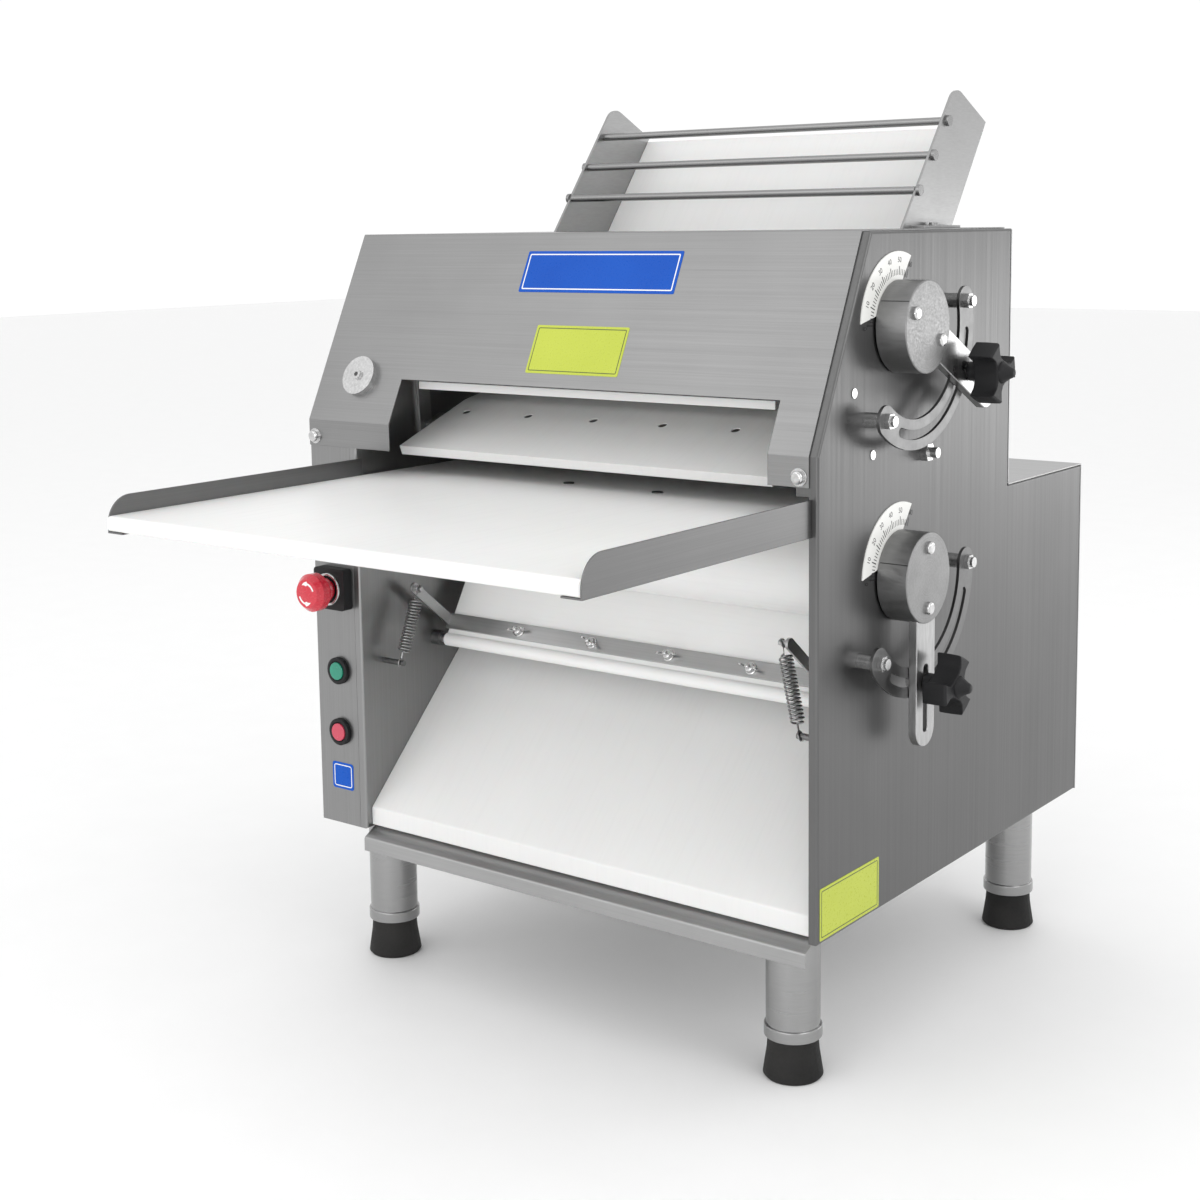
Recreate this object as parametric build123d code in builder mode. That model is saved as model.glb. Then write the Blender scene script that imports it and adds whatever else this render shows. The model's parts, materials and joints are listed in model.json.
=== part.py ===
"""A two-stage countertop dough sheeter.

Dough drops down the top hopper, between the upper pair of rollers, and slides out over
the exit slide onto the tray.  It is turned there and fed between the lower pair, and
leaves down the front chute.  Each front roller turns on an eccentric shaft, so the lever
on the right side sets the gap of its pair.

Millimetres.  X runs to the machine's right as seen from the front, Y to its back, Z up.
The origin is on the floor, under the middle of the whole machine.
"""

import math
import os

from build123d import *

os.makedirs("parts", exist_ok=True)

# ------------------------------------------------------------------ driving sizes
body_width = 620
body_depth = 560  # front flanges to the back edges of the walls
head_depth = 375  # front flanges to the back of the tall head
tray_reach = 322  # how far the tray stands out in front
body_bottom_z = 152
box_top_z = 520  # low box behind the head
head_top_z = 779
hood_setback = 90  # how far the sloping front leans back
slope_foot_z = 587
drive_bay = 63  # width of the chain compartment on the left

sheet = 1.5  # covers
wall = 3  # the two walls that carry the rollers
seat_gap = 0.3  # parts that rest beside each other without a fit
fit = 0.05  # radial clearance of a turning fit

roller_radius = 44.5
roller_length = 508
lower_axis_setback = 143
lower_axis_z = 463
upper_axis_setback = 138
upper_axis_z = 692
eccentricity = 4
smallest_gap = 0.8

disc_radius = 42
disc_thickness = 30
disc_standoff = 1.6  # disc clear of the wall and of the dial plate
lever_width = 35
lever_thickness = 8
lever_reach = 158
clamp_radius = 97.5
knob_reach = 75  # outer end of a clamp knob from the right wall
gland_reach = 18  # cord gland behind the back cover

tray_width = 541
tray_rail_height = 33
tray_bottom_z = 517
board_thickness = 14

leg_radius = 25.4
foot_radius = 28.25
foot_height = 39
leg_spacing_x = 510
leg_spacing_y = 460

# ------------------------------------------------------------------ places
left_x = -(body_width + knob_reach) / 2
right_x = left_x + body_width
tray_front_y = -(tray_reach + body_depth + sheet + gland_reach) / 2
front_y = tray_front_y + tray_reach
back_y = front_y + body_depth
head_back_y = front_y + head_depth
plate_top_z = head_top_z - sheet
plate_box_z = box_top_z - sheet
slope_top_y = front_y + hood_setback
middle_x = left_x + body_width / 2
middle_y = front_y + body_depth / 2

wall_x = left_x + drive_bay + wall  # face of the inner wall towards the rollers
right_in = right_x - wall
roller_x = wall_x + 21
roller_end_x = roller_x + roller_length
bay_x = wall_x - wall

slope_angle = math.degrees(math.atan2(plate_top_z - slope_foot_z, hood_setback))
slope_plane = Plane(
    origin=(0, front_y, slope_foot_z),
    x_dir=(1, 0, 0),
    z_dir=(0, -math.sin(math.radians(slope_angle)), math.cos(math.radians(slope_angle))),
)

body_outline = [
    (front_y, body_bottom_z),
    (back_y, body_bottom_z),
    (back_y, plate_box_z),
    (head_back_y, plate_box_z),
    (head_back_y, plate_top_z),
    (slope_top_y, plate_top_z),
    (front_y, slope_foot_z),
]

FROM_END = (Align.CENTER, Align.CENTER, Align.MIN)


def polar(centre, radius, degrees):
    """A (y, z) point at a distance from a centre, at an angle from +Y towards +Z."""
    angle = math.radians(degrees)
    return (centre[0] + radius * math.cos(angle), centre[1] + radius * math.sin(angle))


def round_bar(x, centre, radius, length, mode=Mode.ADD):
    """A round bar along +X from x, about a (y, z) centre, in the active part."""
    with Locations((x, *centre)):
        Cylinder(radius, length, rotation=(0, 90, 0), align=FROM_END, mode=mode)


def front_bar(x, y, z, radius, length, mode=Mode.ADD):
    """A round bar along -Y from y, in the active part."""
    with Locations((x, y, z)):
        Cylinder(radius, length, rotation=(90, 0, 0), align=FROM_END, mode=mode)


def block(low, high, mode=Mode.ADD):
    """A box between two corners, in the active part."""
    size = [b - a for a, b in zip(low, high)]
    with Locations(low):
        Box(*size, align=(Align.MIN, Align.MIN, Align.MIN), mode=mode)


def folded_sheet(points, thickness, x_from, x_to, bend=0.0, side=Side.LEFT):
    """A sheet folded along (y, z) points, its thickness to one side of them."""
    with BuildPart() as folded:
        with BuildSketch(Plane.YZ.offset(x_from)):
            with BuildLine():
                if bend:
                    FilletPolyline(*points, radius=bend)
                else:
                    Polyline(*points)
                offset(amount=thickness, side=side)
            make_face()
        extrude(amount=x_to - x_from)
    return folded


def side_wall(face_x, flange):
    """A wall with its outer face at face_x and all its edges turned towards -X."""
    with BuildPart() as pan:
        with BuildSketch(Plane.YZ.offset(face_x)):
            with BuildLine():
                Polyline(*body_outline, close=True)
            make_face()
        extrude(amount=-flange)
        with BuildSketch(Plane.YZ.offset(face_x - wall)):
            with BuildLine():
                Polyline(*body_outline, close=True)
            make_face()
            offset(amount=-wall, kind=Kind.INTERSECTION)
        extrude(amount=-flange, mode=Mode.SUBTRACT)
        fillet(pan.faces().sort_by(Axis.X)[-1].edges(), radius=0.8 * wall)
    return pan


# ------------------------------------------------------------------ roller axes
# A lever angle is measured at its gauge axis, from +Y towards +Z.
ecc_lag = -27  # the roller's centre lies this far round from the lever
half_swing = 50  # each lever swings this far either side of its quadrant's middle
post_half_angle = 68  # quadrant posts either side of the middle

upper_axis = (front_y + upper_axis_setback, upper_axis_z)
lower_axis = (front_y + lower_axis_setback, lower_axis_z)
upper_rest, upper_middle = -28, -56.5
lower_rest, lower_middle = -90, -68.5
upper_front = polar(upper_axis, eccentricity, upper_rest + ecc_lag)
lower_front = polar(lower_axis, eccentricity, lower_rest + ecc_lag)
rear_offset = 2 * roller_radius + smallest_gap + eccentricity * math.cos(math.radians(30))
rear_drop = 0.68 * eccentricity
upper_rear = (upper_axis[0] + rear_offset, upper_axis[1] - rear_drop)
lower_rear = (lower_axis[0] + rear_offset, lower_axis[1] - rear_drop)

shaft_radius = 15  # eccentric middle of a front shaft, where its roller turns
journal_radius = 10  # its two ends, which turn in the bushes
bush_flange_radius = 19
bush_radius = 14
rear_shaft_radius = 12
hub_radius = 20
hub_sweep = hub_radius + 2 * eccentricity

# =================================================================== walls and covers
front_flange = 9  # turned edge of each wall
hood_seat = 13  # how far the right wall's seat reaches on under the hood
seat_foot_z = slope_foot_z - 35
right_side_panel = side_wall(right_x, front_flange)
with right_side_panel:
    with BuildSketch(Plane.YZ.offset(right_x - front_flange)) as seat:
        with BuildLine():
            Polyline((slope_top_y, plate_top_z), (front_y, slope_foot_z), (front_y, seat_foot_z))
            offset(amount=wall, side=Side.LEFT)
        make_face()
    extrude(seat.sketch, amount=-hood_seat)
    for axis in (upper_axis, lower_axis):
        round_bar(right_in - 1, axis, bush_radius + fit, wall + 2, mode=Mode.SUBTRACT)

left_inner_wall = side_wall(wall_x, front_flange)
with left_inner_wall:
    for axis in (upper_axis, lower_axis):
        round_bar(bay_x - 1, axis, hub_sweep, wall + 2, mode=Mode.SUBTRACT)
    for axis in (upper_rear, lower_rear):
        round_bar(bay_x - 1, axis, rear_shaft_radius + 2, wall + 2, mode=Mode.SUBTRACT)

# Controls stand in a column on the front strip of the left cover.
control_x = left_x + 32
estop_z = 410
start_z = 320
stop_z = 253.5
barrel_radius = 11
strip_end_x = wall_x - front_flange - seat_gap
gland_x = left_x + 36
gland_z = 210
gland_radius = 8

with BuildPart() as left_cover:
    with BuildSketch(Plane.YZ.offset(left_x)):
        with BuildLine():
            Polyline(*body_outline, close=True)
        make_face()
    extrude(amount=strip_end_x - left_x)
    with BuildSketch(Plane.YZ.offset(left_x + sheet)):
        with BuildLine():
            Polyline(*body_outline, close=True)
        make_face()
        offset(amount=-sheet, kind=Kind.INTERSECTION)
    extrude(amount=body_width, mode=Mode.SUBTRACT)
    block(
        (left_x + sheet, front_y + sheet, plate_box_z),
        (wall_x, head_back_y + 1, head_top_z),
        mode=Mode.SUBTRACT,
    )
    for z in (estop_z, start_z, stop_z):
        front_bar(control_x, front_y + 2 * sheet, z, barrel_radius, 4 * sheet, Mode.SUBTRACT)
    front_bar(gland_x, back_y + sheet, gland_z, gland_radius, 4 * sheet, Mode.SUBTRACT)

lip_reach = 5
lip_drop = 22
lip_top_y = front_y + 12
floor_back_y = back_y - wall - seat_gap
bottom_plate = folded_sheet(
    [
        (floor_back_y, body_bottom_z + sheet),
        (lip_top_y, body_bottom_z + sheet),
        (front_y - lip_reach, body_bottom_z - 8),
        (front_y - lip_reach, body_bottom_z - lip_drop),
    ],
    sheet,
    wall_x + seat_gap,
    right_x - front_flange - seat_gap,
    bend=3,
)

louvre_width = 70
rear_cover = folded_sheet(
    [
        (head_back_y + sheet + seat_gap, plate_box_z),
        (back_y, plate_box_z),
        (back_y, body_bottom_z),
    ],
    sheet,
    left_x,
    right_x,
)
with rear_cover:
    front_bar(gland_x, back_y + 2 * sheet, gland_z, gland_radius, 4 * sheet, Mode.SUBTRACT)
    with BuildSketch(Plane.XZ.offset(-back_y - 2 * sheet)) as louvres:
        with Locations((middle_x, 340)):
            with GridLocations(louvre_width + 30, 16, 3, 7):
                SlotOverall(louvre_width, 5)
    extrude(louvres.sketch, amount=4 * sheet, mode=Mode.SUBTRACT)

with BuildPart() as upper_back_panel:
    block(
        (left_x, head_back_y, box_top_z + seat_gap),
        (right_x, head_back_y + sheet, plate_top_z),
    )
    fillet(upper_back_panel.edges().filter_by(Axis.Y), radius=2)

# The hood: one sheet over the top, down the sloping front and over its foot.
throat_left_x = left_x + 115
throat_right_x = right_x - 50
throat_top_z = 632
hood_foot_z = 560
hood_end_x = right_x - front_flange + 0.5
wing_left_x = left_x + 124
wing_right_x = left_x + 559
wing_sheet = 2.5
hopper_front_y = front_y + 260
hopper_back_y = front_y + 364
hood = folded_sheet(
    [
        (head_back_y + sheet, plate_top_z),
        (slope_top_y, plate_top_z),
        (front_y, slope_foot_z),
        (front_y, hood_foot_z),
    ],
    sheet,
    left_x,
    hood_end_x,
    side=Side.RIGHT,
)
with hood:
    block(
        (throat_left_x, front_y - 20, hood_foot_z - 1),
        (throat_right_x, front_y + 60, throat_top_z),
        mode=Mode.SUBTRACT,
    )
    block(
        (wing_left_x + wing_sheet, hopper_front_y + 5, plate_top_z - 5),
        (wing_right_x - wing_sheet, hopper_back_y, head_top_z + 5),
        mode=Mode.SUBTRACT,
    )

# Fasteners of the covers: domed bolts, the hood's lock disc, wall bolt and rivets.
hood_face_y = front_y - sheet
lock_radius = 21
lock_thickness = 7
lock_x = left_x + 59
lock_up_slope = 49
side_bolt = (front_y + 190, 572)
rivets = [(front_y + 61, 637), (front_y + 94.5, 579)]
with BuildPart() as cover_bolts:
    for x, z in ((left_x + 9, 570), (right_x - 18, 569)):
        front_bar(x, hood_face_y, z, 8, 1.2)
        front_bar(x, hood_face_y - 1.2, z, 6, 5)
    fillet(cover_bolts.faces().sort_by(Axis.Y)[:2].edges(), radius=2.5)
    with BuildSketch(slope_plane.offset(sheet)):
        with Locations((lock_x, lock_up_slope)):
            Circle(lock_radius)
    extrude(amount=lock_thickness)
    with BuildSketch(slope_plane.offset(sheet + lock_thickness)):
        with Locations((lock_x, lock_up_slope)):
            Circle(5)
    extrude(amount=3)
    with BuildSketch(Plane.YZ.offset(right_x)):
        with Locations(side_bolt):
            RegularPolygon(9, 6)
    extrude(amount=8)
    round_bar(right_x + 8, side_bolt, 5, 8)
    for place in rivets:
        round_bar(right_x, place, 4.5, 0.8)
    with Locations((0, head_back_y + sheet, 0)):
        for x in (left_x + 12, middle_x, right_x - 12):
            for z in (box_top_z + 18, plate_top_z - 18):
                with Locations((x, 0, z)):
                    Cylinder(5, 3, rotation=(-90, 0, 0), align=FROM_END)
    with Locations((0, back_y + sheet, 0)):
        for x in (left_x + 12, right_x - 12):
            for z in (body_bottom_z + 18, plate_box_z - 18):
                with Locations((x, 0, z)):
                    Cylinder(5, 3, rotation=(-90, 0, 0), align=FROM_END)

# =================================================================== top hopper
lean = 52.5
wing_length = 180  # front edge, up to the peak before it is rounded
wing_front = (hopper_front_y, head_top_z)
wing_back = (hopper_back_y, head_top_z)
rod_radius = 4
rod_screw_radius = 2.5
rod_places = [polar(wing_front, d, lean - 3.5) for d in (49, 95, 141)]
foot_width = 14


def hopper_wing(x, foot_direction):
    """A cheek of the hopper with a rounded peak and a foot turned outwards."""
    with BuildPart() as wing:
        with BuildSketch(Plane.YZ.offset(x)) as profile:
            with BuildLine():
                Polyline(
                    wing_front,
                    polar(wing_front, wing_length, lean),
                    polar(wing_back, 132, lean + 2.5),
                    wing_back,
                    close=True,
                )
            make_face()
            fillet(profile.vertices().sort_by(Axis.Y)[-1], radius=20)
        extrude(amount=wing_sheet)
        foot_x = x + wing_sheet if foot_direction > 0 else x - foot_width
        block(
            (foot_x, hopper_front_y + 20, head_top_z),
            (foot_x + foot_width, hopper_back_y - 8, head_top_z + wing_sheet),
        )
        for place in rod_places:
            round_bar(x - 1, place, rod_screw_radius + fit, wing_sheet + 2, Mode.SUBTRACT)
        screw_y = (hopper_front_y + hopper_back_y) / 2
        with Locations((foot_x + foot_width / 2, screw_y, head_top_z + wing_sheet)):
            Cylinder(4.5, 3, align=FROM_END)
    return wing


hopper_left_wing = hopper_wing(wing_left_x, -1)
hopper_right_wing = hopper_wing(wing_right_x - wing_sheet, 1)

slide_thickness = 6
slide_bend = polar(wing_back, -5, lean)
slide_lower_angle = 31
hopper_slide = folded_sheet(
    [
        polar(wing_back, 126, lean),
        slide_bend,
        polar(slide_bend, 103, 180 + slide_lower_angle),
    ],
    slide_thickness,
    wing_left_x + wing_sheet + seat_gap,
    wing_right_x - wing_sheet - seat_gap,
    bend=12,
    side=Side.RIGHT,
)

with BuildPart() as guard_rods:
    inner_left = wing_left_x + wing_sheet
    inner_right = wing_right_x - wing_sheet
    for place in rod_places:
        round_bar(inner_left, place, rod_radius, inner_right - inner_left)
        round_bar(wing_left_x - 3.5, place, 5.5, 3.5)
        round_bar(wing_right_x, place, 5.5, 3.5)
        round_bar(wing_left_x, place, rod_screw_radius, wing_right_x - wing_left_x)

# =================================================================== throat
slide_left_x = left_x + 95
slide_right_x = left_x + 550
slide_angle = 21
slide_front = (front_y + 35, 561)
slide_length = 186
slide_sheet = 10
exit_slide = folded_sheet(
    [
        slide_front,
        polar(slide_front, slide_length * 0.6, slide_angle),
        polar(slide_front, slide_length, slide_angle - 4),
    ],
    slide_sheet,
    slide_left_x,
    slide_right_x,
    bend=60,
    side=Side.RIGHT,
)
bar_along = 83  # the cross bar under the slide, from its front edge
slide_screws = [left_x + 120 + 85.5 * i for i in range(5)]
screw_plane = Plane(
    origin=(0, *polar(slide_front, bar_along, slide_angle)),
    x_dir=(1, 0, 0),
    z_dir=(0, -math.sin(math.radians(slide_angle)), math.cos(math.radians(slide_angle))),
)
with exit_slide:
    with BuildSketch(screw_plane) as screw_holes:
        with Locations(*[(x, 0) for x in slide_screws]):
            Circle(4.5)
    extrude(screw_holes.sketch, amount=-2 * slide_sheet, mode=Mode.SUBTRACT)

scraper_clear = 1.3  # a scraper's tip from its roller
tip_angle = -74.5
scraper_sheet = 8
scraper_front = (front_y + 40, 629)
scraper_tip = polar(upper_front, roller_radius + scraper_clear, tip_angle)
upper_scraper = folded_sheet(
    [scraper_front, (scraper_front[0] + 12, scraper_front[1]), scraper_tip],
    scraper_sheet,
    left_x + 120,
    left_x + 552,
    bend=3,
    side=Side.RIGHT,
)

# One welded frame carries the exit slide and the upper scraper between the walls.
frame_bar_width = 26
frame_bar = 3
post_width = 18
frame_left_x = wall_x
frame_right_x = right_in
with BuildPart() as throat_frame:
    with BuildSketch(screw_plane.offset(-slide_sheet)):
        with Locations(((frame_left_x + frame_right_x) / 2, 0)):
            Rectangle(frame_right_x - frame_left_x, frame_bar_width)
    extrude(amount=-frame_bar)
    post_y, post_z = polar(slide_front, bar_along - 20, slide_angle)
    under_scraper_z = scraper_front[1] + 0.26 * (post_y - scraper_front[0])
    for x in (frame_left_x, frame_right_x - frame_bar):
        with BuildSketch(Plane.YZ.offset(x)):
            with BuildLine():
                Polyline(
                    (post_y + 2, post_z - 18),
                    (post_y + 2 + post_width, post_z - 12),
                    (post_y - 4 + post_width, under_scraper_z + 12),
                    (post_y - 4, under_scraper_z + 8),
                    close=True,
                )
            make_face()
        extrude(amount=frame_bar)
    scraper_rise = math.degrees(
        math.atan2(scraper_tip[1] - scraper_front[1], scraper_tip[0] - scraper_front[0] - 12)
    )
    under_scraper = polar(polar(scraper_tip, -46, scraper_rise), scraper_sheet, scraper_rise - 90)
    tab_plane = Plane(
        origin=(0, *under_scraper),
        x_dir=(0, math.cos(math.radians(scraper_rise)), math.sin(math.radians(scraper_rise))),
        z_dir=(1, 0, 0),
    )
    for x_from, x_to in ((frame_left_x, left_x + 140), (left_x + 532, frame_right_x)):
        with BuildSketch(tab_plane.offset(x_from)):
            Rectangle(16, frame_bar, align=(Align.MIN, Align.MAX))
        extrude(amount=x_to - x_from)

# =================================================================== feed tray
tray_left_x = left_x + 73
tray_right_x = tray_left_x + tray_width
board_top_z = tray_bottom_z + sheet + board_thickness
board_back_y = lower_axis[0] + 37
rail_flange = 20
rail_end_y = front_y - seat_gap
rail_corner = 25
cross_bar_y = front_y + 52
cross_bar_width = 24

with BuildPart() as tray_board:
    with BuildSketch(Plane.XY.offset(tray_bottom_z + sheet)):
        with BuildLine():
            Polyline(
                (tray_left_x + sheet, tray_front_y),
                (tray_right_x - sheet, tray_front_y),
                (tray_right_x - sheet, rail_end_y - 1),
                (right_x - front_flange - 1, rail_end_y - 1),
                (right_x - front_flange - 1, board_back_y),
                (tray_left_x + sheet, board_back_y),
                close=True,
            )
        make_face()
    extrude(amount=board_thickness)
    front_edges = tray_board.edges().filter_by(Axis.X).group_by(Axis.Y)[0]
    fillet(front_edges, radius=5)

tray_screws = [(middle_x - 15, front_y + 66), (middle_x + 96.5, front_y + 61)]
with BuildPart() as tray_frame:
    for x, flange_from in (
        (tray_left_x, tray_left_x),
        (tray_right_x - sheet, tray_right_x - rail_flange),
    ):
        with BuildSketch(Plane.YZ.offset(x)) as web:
            with BuildLine():
                Polyline(
                    (tray_front_y + 2, tray_bottom_z),
                    (rail_end_y, tray_bottom_z),
                    (rail_end_y, tray_bottom_z + tray_rail_height),
                    (tray_front_y + 2, tray_bottom_z + tray_rail_height),
                    close=True,
                )
            make_face()
            fillet(web.vertices().group_by(Axis.X)[0].sort_by(Axis.Y)[-1], radius=rail_corner)
        extrude(amount=sheet)
        block(
            (flange_from, tray_front_y + 2, tray_bottom_z),
            (flange_from + rail_flange, rail_end_y, tray_bottom_z + sheet),
        )
    for x in (wall_x + 2, right_x - front_flange - rail_flange - 4):
        block(
            (x, rail_end_y - 20, tray_bottom_z),
            (x + rail_flange, cross_bar_y + cross_bar_width, tray_bottom_z + sheet),
        )
    block(
        (wall_x, cross_bar_y, tray_bottom_z),
        (right_in, cross_bar_y + cross_bar_width, tray_bottom_z + sheet),
    )

screw_head_radius = 4.4
with BuildPart() as board_screws:
    with BuildSketch(screw_plane.offset(-slide_sheet)):
        with Locations(*[(x, 0) for x in slide_screws]):
            Circle(screw_head_radius)
    extrude(amount=slide_sheet - 1)
    for x, y in tray_screws:
        with Locations((x, y, board_top_z)):
            Cylinder(screw_head_radius + 1, 1.2, align=FROM_END)

# =================================================================== lower chute
chute_sheet = 6
chute_foot = (front_y + 8, 174)
chute_angle = 45.5
lower_chute = folded_sheet(
    [
        (chute_foot[0], body_bottom_z + wall + seat_gap),
        chute_foot,
        polar(chute_foot, 325, chute_angle),
    ],
    chute_sheet,
    wall_x + seat_gap,
    right_in - seat_gap,
    bend=4,
    side=Side.RIGHT,
)

# =================================================================== legs
tube_wall = 2
collar_radius = 27.25
collar_height = 12
leg_spots = [
    (middle_x + sx * leg_spacing_x / 2, middle_y - 1 + sy * leg_spacing_y / 2)
    for sx in (-1, 1)
    for sy in (-1, 1)
]
with BuildPart() as leg_tubes:
    with Locations(*[(x, y, foot_height) for x, y in leg_spots]):
        Cylinder(collar_radius, collar_height, align=FROM_END)
        Cylinder(leg_radius, body_bottom_z - foot_height, align=FROM_END)
    with Locations(*[(x, y, foot_height + collar_height / 2) for x, y in leg_spots]):
        bore_height = body_bottom_z - foot_height - collar_height
        Cylinder(leg_radius - tube_wall, bore_height, align=FROM_END, mode=Mode.SUBTRACT)
    collar_edges = leg_tubes.edges().filter_by(GeomType.CIRCLE)
    fillet([e for e in collar_edges if e.radius > leg_radius + 1], radius=1.5)

with BuildPart() as rubber_feet:
    for x, y in leg_spots:
        with BuildSketch(Plane.XZ.offset(-y)):
            with BuildLine():
                Polyline(
                    (x, 3),
                    (x + 14, 3),
                    (x + 15, 0),
                    (x + foot_radius - 2, 0),
                    (x + foot_radius, 2.5),
                    (x + 24.6, 26),
                    (x + 23.6, foot_height),
                    (x, foot_height),
                    close=True,
                )
            make_face()
        revolve(axis=Axis((x, y, 0), (0, 0, 1)))

# =================================================================== gap gauges
disc_x = right_x + disc_standoff
lever_x = disc_x + disc_thickness - 2 - lever_thickness
dial_radius = 67.5
dial_sheet = 1
shaft_end_x = disc_x + 18
post_radius = 4
quadrant_sheet = 3
quadrant_x = right_x + 18
slot_width = 9
quadrant_band = 14
stud_radius = 4
gauges = (
    (upper_axis, upper_rest, upper_middle),
    (lower_axis, lower_rest, lower_middle),
)

with BuildPart() as gap_dials:
    for axis in (upper_axis, lower_axis):
        with BuildSketch(Plane.YZ.offset(right_x)) as dial:
            with Locations(axis):
                Circle(dial_radius)
                Circle(30, mode=Mode.SUBTRACT)
            with BuildLine():
                Polyline(
                    polar(axis, 20, 122),
                    polar(axis, 120, 62),
                    polar(axis, 120, 122),
                    polar(axis, 120, 183),
                    close=True,
                )
            make_face(mode=Mode.INTERSECT)
        extrude(dial.sketch, amount=dial_sheet)

with BuildPart() as gauge_quadrants:
    for axis, rest, middle in gauges:
        with BuildSketch(Plane.YZ.offset(quadrant_x)) as band:
            with BuildLine():
                arc = CenterArc(axis, clamp_radius, middle - post_half_angle, 2 * post_half_angle)
            SlotArc(arc, 2 * quadrant_band)
            with BuildLine():
                slot = CenterArc(axis, clamp_radius, middle - half_swing - 1, 2 * half_swing + 2)
            SlotArc(slot, slot_width, mode=Mode.SUBTRACT)
            with Locations(*[polar(axis, clamp_radius, middle + s * post_half_angle) for s in (-1, 1)]):
                Circle(post_radius + fit, mode=Mode.SUBTRACT)
        extrude(band.sketch, amount=quadrant_sheet)

with BuildPart() as quadrant_posts:
    for axis, rest, middle in gauges:
        for side in (-1, 1):
            place = polar(axis, clamp_radius, middle + side * post_half_angle)
            round_bar(right_x, place, 7, quadrant_x - right_x)
            round_bar(quadrant_x, place, post_radius, quadrant_sheet)
            with BuildSketch(Plane.YZ.offset(quadrant_x + quadrant_sheet)) as nut:
                with Locations(place):
                    RegularPolygon(7.5, 6)
            extrude(nut.sketch, amount=5)
            round_bar(quadrant_x + quadrant_sheet + 5, place, 5, 3.5)


lever_end = lever_reach - lever_width / 2
lever_tail = 29  # how far the lever runs on through the disc
lever_slot = (85, 140)  # centres of the lever slot's round ends
disc_screw_spot = 28


def lever_plane(x, axis, rest):
    """A plane across X at a gauge axis, its own x along the lever."""
    angle = math.radians(rest)
    return Plane(
        origin=(x, *axis), x_dir=(0, math.cos(angle), math.sin(angle)), z_dir=(1, 0, 0)
    )


def eccentric_shaft(axis, centre):
    """A shaft whose ends turn about the gauge axis and whose middle is offset from it."""
    with BuildPart() as shaft:
        round_bar(left_x + 10, axis, journal_radius, shaft_end_x - left_x - 10)
        round_bar(left_x + 28, centre, shaft_radius, roller_end_x + 2 - left_x - 28)
    return shaft


def gauge_disc(axis, rest):
    """The disc on the shaft's end, slotted across to take the lever."""
    with BuildPart() as disc:
        round_bar(disc_x, axis, disc_radius, disc_thickness)
        fillet(disc.faces().sort_by(Axis.X)[-1].edges(), radius=1)
        bore_depth = shaft_end_x - disc_x + fit
        round_bar(disc_x, axis, journal_radius + fit, bore_depth, mode=Mode.SUBTRACT)
        with BuildSketch(lever_plane(lever_x - fit, axis, rest)) as slot:
            with Locations((-lever_tail - fit, 0)):
                Rectangle(
                    lever_tail + disc_radius + 1,
                    lever_width + 2 * fit,
                    align=(Align.MIN, Align.CENTER),
                )
        extrude(slot.sketch, amount=lever_thickness + 2 * fit, mode=Mode.SUBTRACT)
    return disc


def gap_lever(axis, rest):
    """The lever from the disc to a round end, with a long slot for the clamp stud."""
    with BuildPart() as lever:
        with BuildSketch(lever_plane(lever_x, axis, rest)) as outline:
            with Locations((-lever_tail, 0)):
                Rectangle(lever_tail + lever_end, lever_width, align=(Align.MIN, Align.CENTER))
            with Locations((lever_end, 0)):
                Circle(lever_width / 2)
            with Locations((sum(lever_slot) / 2, 0)):
                SlotCenterToCenter(lever_slot[1] - lever_slot[0], slot_width, mode=Mode.SUBTRACT)
        extrude(outline.sketch, amount=lever_thickness)
        chamfer(lever.faces().sort_by(Axis.X)[-1].edges(), 0.6)
    return lever


def disc_screws(axis, rest):
    """The two domed screws that hold the lever in its disc."""
    with BuildPart() as screws:
        for spot in (-disc_screw_spot, disc_screw_spot):
            round_bar(disc_x + disc_thickness, polar(axis, spot, rest), 6, 4)
        fillet(screws.faces().filter_by(Plane.YZ).group_by(Axis.X)[-1].edges(), radius=2)
    return screws


knob_x = lever_x + lever_thickness + seat_gap
knob_end_x = right_x + knob_reach
knob_neck = 10
lobe_radius = 28
lobe_width = 17
lobe_height = 24


def clamp_knob(axis, rest):
    """A three-lobed knob on the stud that clamps the lever to its quadrant."""
    place = polar(axis, clamp_radius, rest)
    with BuildPart() as knob:
        round_bar(quadrant_x - 5.3, place, 8, 5)
        round_bar(quadrant_x - 5.3, place, stud_radius, knob_x - quadrant_x + 5.3)
        round_bar(knob_x, place, 9, knob_neck)
        with BuildSketch(lever_plane(knob_x + knob_neck, place, rest + 35)) as lobes:
            Circle(12)
            with PolarLocations(0, 3):
                with Locations((lobe_radius / 2, 0)):
                    Rectangle(lobe_radius, lobe_width)
            fillet(lobes.vertices(), radius=3)
        extrude(lobes.sketch, amount=lobe_height, taper=6)
        nose = knob_end_x - knob_x - knob_neck - lobe_height
        with Locations((knob_x + knob_neck + lobe_height, *place)):
            Cone(9, 3.5, nose, rotation=(0, 90, 0), align=FROM_END)
    return knob


# =================================================================== rollers and drive
teeth = 19
pitch = 12.7
pitch_radius = pitch / 2 / math.sin(math.pi / teeth)
tip_radius = pitch_radius + 2.4
chain_roller_radius = 4
sprocket_x = left_x + 42
sprocket_width = 5
chain_clear = 0.5
chain_height = 6
strap_x = left_x + 14
strap_sheet = 6
bearing_width = 20
bearing_side = 60


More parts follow.
